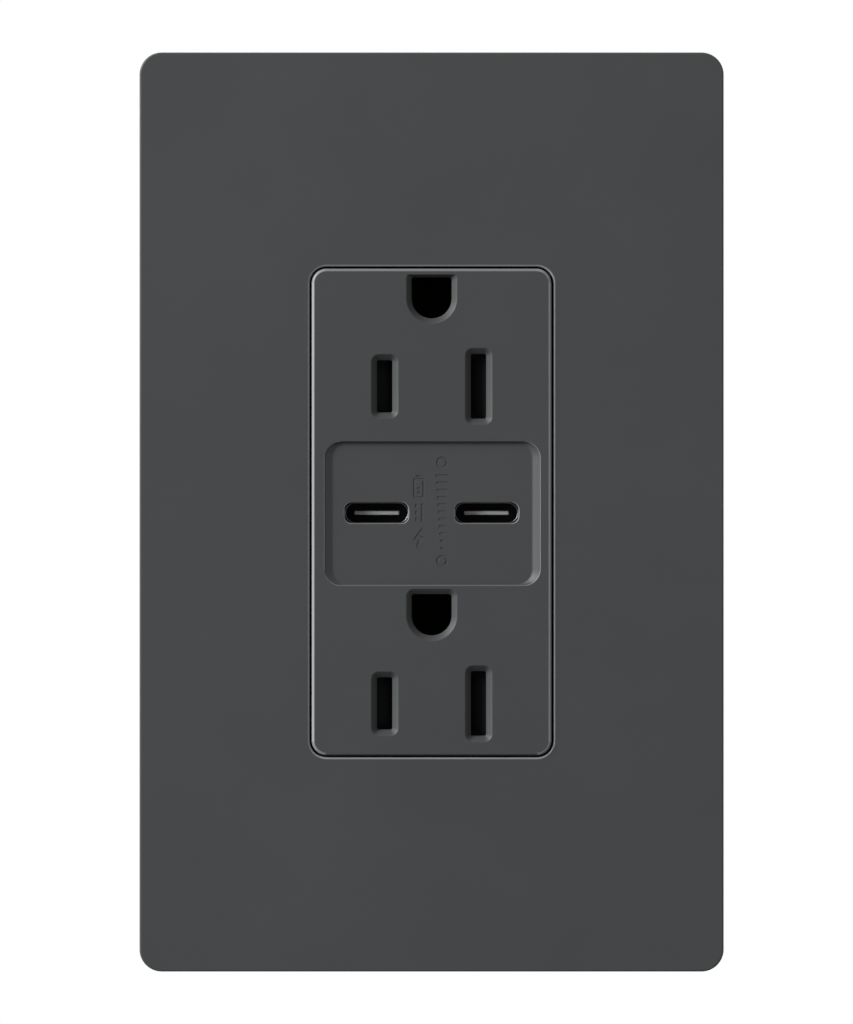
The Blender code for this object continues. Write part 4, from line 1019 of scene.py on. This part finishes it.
def makeSpring(outlet):
    # a coil between two shutters
    size = springSizes
    low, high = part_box(f"{outlet}_shutter_spring")
    wire = size["wire"]
    length = high.x - low.x - 2 * wire
    piece = addObject("coil", bpy.data.meshes.new("coil"))
    addNodes(piece, coilTree, {"Radius": (high.z - low.z) / 2 - wire - size["gap"], "Wire": wire,
                               "Length": length, "Turns": size["turns"],
                               "Material": finishes["zinc_steel"]})
    mesh = bakeMesh(piece)
    middle = (low + high) / 2
    mesh.transform(Matrix.Translation(middle - Vector((length / 2, 0, 0)))
                   @ Matrix.Rotation(math.radians(90), 4, "Y"))
    spring = install(makePiece(f"{outlet}_spring_coil", mesh, "zinc_steel", 60),
                     f"{outlet}_shutter_spring")
    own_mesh(spring)


for outletName in ("upper", "lower"):
    makeSpring(outletName)
print("springs made")


# pieces whose CAD shape is right, with softened edges

softened = {
    # node: how wide its edges are rounded, in millimetres, and in how many segments
    "sub_plate": (0.25, 3), "mounting_strap": (0.18, 3), "rear_housing": (0.45, 4),
    "contact_carrier": (0.15, 2), "hot_bus": (0.12, 2), "neutral_bus": (0.12, 2),
    "ground_bus": (0.12, 2), "insulation_barrier": (0.08, 2), "charger_board": (0.1, 2),
    "port_board": (0.1, 2), "board_link_header": (0.15, 2), "bridge_rectifier": (0.2, 3),
    "controller_chip": (0.15, 2), "transformer_core": (0.25, 3), "transformer_winding": (0.3, 3),
    "screw_retainer_top": (0.1, 2), "screw_retainer_bottom": (0.1, 2),
    "upper_shutter_retainer": (0.15, 2), "lower_shutter_retainer": (0.15, 2),
}
for partName, edges in (("shutter", (0.15, 3)), ("clamp", (0.2, 3))):
    for outletName in ("upper", "lower"):
        for poleName in ("hot", "neutral"):
            softened[f"{outletName}_{poleName}_{partName}"] = edges
softened.update({"ground_clamp_plate": (0.2, 3), "input_capacitor": (0.1, 2),
                 "output_capacitor": (0.1, 2), "fuse": (0.15, 2)})
shadeDarkened = {"ground_bus": "shaded_brass"}  # a darker, rougher copy of the slot's brass: the darkness is painted shade for the ground bus, seen only deep in its hole
grooves = {
    # node: rows of shallow cuts as (count, first centre, step, size) in millimetres
    "rear_housing": [(7, (-9, 31.3, 13), (3, 0, 0), (1.1, 1.5, 17)),
                     (1, (0, 31.3, -10), (0, 0, 0), (23, 0.7, 17)),
                     (1, (0, 31.3, -21.8), (0, 0, 0), (14, 0.8, 1.0))],
    "mounting_strap": [(2, (-12.5, 0, 48.7), (25, 0, 0), (0.4, 0.6, 12)),
                       (2, (-12.5, 0, -48.7), (25, 0, 0), (0.4, 0.6, 12))],
}


def soften(node, width, segments):
    # a merged copy of the node with its grooves cut and its sharp edges rounded
    form = bmesh.new()
    form.from_mesh(frame["nodes"][node].data)
    bmesh.ops.remove_doubles(form, verts=form.verts, dist=0.001 * mm)
    bmesh.ops.dissolve_limit(form, angle_limit=math.radians(1.0), verts=form.verts, edges=form.edges)
    piece = makePiece(f"{node}_body", meshFrom(form, f"{node}_soft"),
                      shadeDarkened.get(node, slotOf[node]))
    cutters = [addCut(piece, [row]) for row in grooves.get(node, [])]
    roundEdges(piece, width, segments)
    normals = piece.modifiers.new("normals", "WEIGHTED_NORMAL")
    normals.keep_sharp = True
    piece.data = evaluatedMesh(piece)
    piece.modifiers.clear()
    for cutter in cutters:
        bpy.data.objects.remove(cutter)
    install(piece, node)


for softNode, (edgeWidth, edgeSegments) in softened.items():
    soften(softNode, edgeWidth, edgeSegments)
print("softened pieces made:", len(softened))

for plainNode, plainObject in frame["nodes"].items():
    for materialSlot in plainObject.material_slots:
        materialSlot.material = finishes[slotOf[plainNode]]


# studio

studio = {
    "distance": 0.8, "frameHeight": 138.44 * mm, "sideways": -0.69 * mm, "sensor": 36.0,
    "clip": (0.01, 20.0), "floorDrop": 1.6, "floorSize": 16.0, "floorCloud": 0.4,
    "floorDark": (0.80, 0.80, 0.80), "floorLight": (0.84, 0.84, 0.84), "floorRoughness": 0.8,
    "frontGlow": 0.0, "sideGlow": 0.55, "backGlow": 1.0, "underGlow": 0.34,
    # where each glow starts and is full, as a direction's Y or Z
    "sideEdges": (-0.96, -0.80), "backEdges": (-0.05, 0.25), "backHeights": (-0.6, 0.3),
    "underEdges": (0.50, 0.62), "lampSpread": 60,
}
lamps = {
    # name: place, width, height, power, colour
    "keyLeft": ((-1.4, -0.88, 0.75), 1.0, 1.1, 10.6, (1.0, 1.0, 1.0)),
}


def makeFloor():
    material, graph, shader, place = startMaterial("pale_floor")
    cloud = noiseAt(graph, place, studio["floorCloud"])
    graph.feed(shader.inputs["Base Color"],
               blendColors(graph, cloud, studio["floorDark"], studio["floorLight"]))
    shader.inputs["Roughness"].default_value = studio["floorRoughness"]
    form = bmesh.new()
    bmesh.ops.create_grid(form, x_segments=1, y_segments=1, size=studio["floorSize"] / 2)
    bmesh.ops.translate(form, vec=(0, 0, -studio["floorDrop"]), verts=form.verts)
    floor = addObject("floor", meshFrom(form, "floor"))
    floor.data.materials.append(material)
    floor.visible_diffuse = floor.visible_glossy = False  # the world's underGlow stands for its bounce


def makeLamps():
    for name, (place, width, height, power, color) in lamps.items():
        light = bpy.data.lights.new(name, "AREA")
        light.shape = "RECTANGLE"
        light.size, light.size_y = width, height
        light.spread = math.radians(studio["lampSpread"])
        light.energy = power
        light.color = color
        lamp = addObject(name, light)
        lamp.location = place
        lamp.rotation_euler = (-Vector(place)).to_track_quat("-Z", "Y").to_euler()


def makeWorld():
    # white to the camera; as a light it is dark behind the camera, dim round it and bright at the back
    world = bpy.data.worlds.new("studio")
    world.use_nodes = True
    bpy.context.scene.world = world
    graph = Graph(world.node_tree)
    back = world.node_tree.nodes["Background"]
    ray = graph.add("ShaderNodeLightPath")
    direction = graph.add("ShaderNodeTexCoord")
    parts = graph.add("ShaderNodeSeparateXYZ", {}, {0: direction})
    beside = sharpen(graph, parts.other("Y"), *studio["sideEdges"])
    behind = sharpen(graph, parts.other("Y"), *studio["backEdges"])
    up = sharpen(graph, parts.other("Z"), *studio["backHeights"])
    below = sharpen(graph, 0 - parts.other("Z"), *studio["underEdges"])
    around = studio["frontGlow"] + beside * studio["sideGlow"] + behind * up * studio["backGlow"]
    glow = around * (1 - below) + below * studio["underGlow"]
    graph.feed(back.inputs["Strength"], ray + (1 - ray) * glow)
    back.inputs["Color"].default_value = (1, 1, 1, 1)


def makeCamera():
    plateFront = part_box("wall_plate")[0].y
    data = bpy.data.cameras.new("camera")
    data.sensor_width = studio["sensor"]
    data.lens = data.sensor_width * studio["distance"] / studio["frameHeight"]
    data.clip_start, data.clip_end = studio["clip"]
    camera = addObject("camera", data)
    camera.location = (studio["sideways"], plateFront - studio["distance"], 0)
    camera.rotation_euler = (math.pi / 2, 0, 0)
    bpy.context.scene.camera = camera


makeFloor()
makeLamps()
makeWorld()
makeCamera()
bpy.context.scene.view_settings.view_transform = "Standard"
print("studio made")
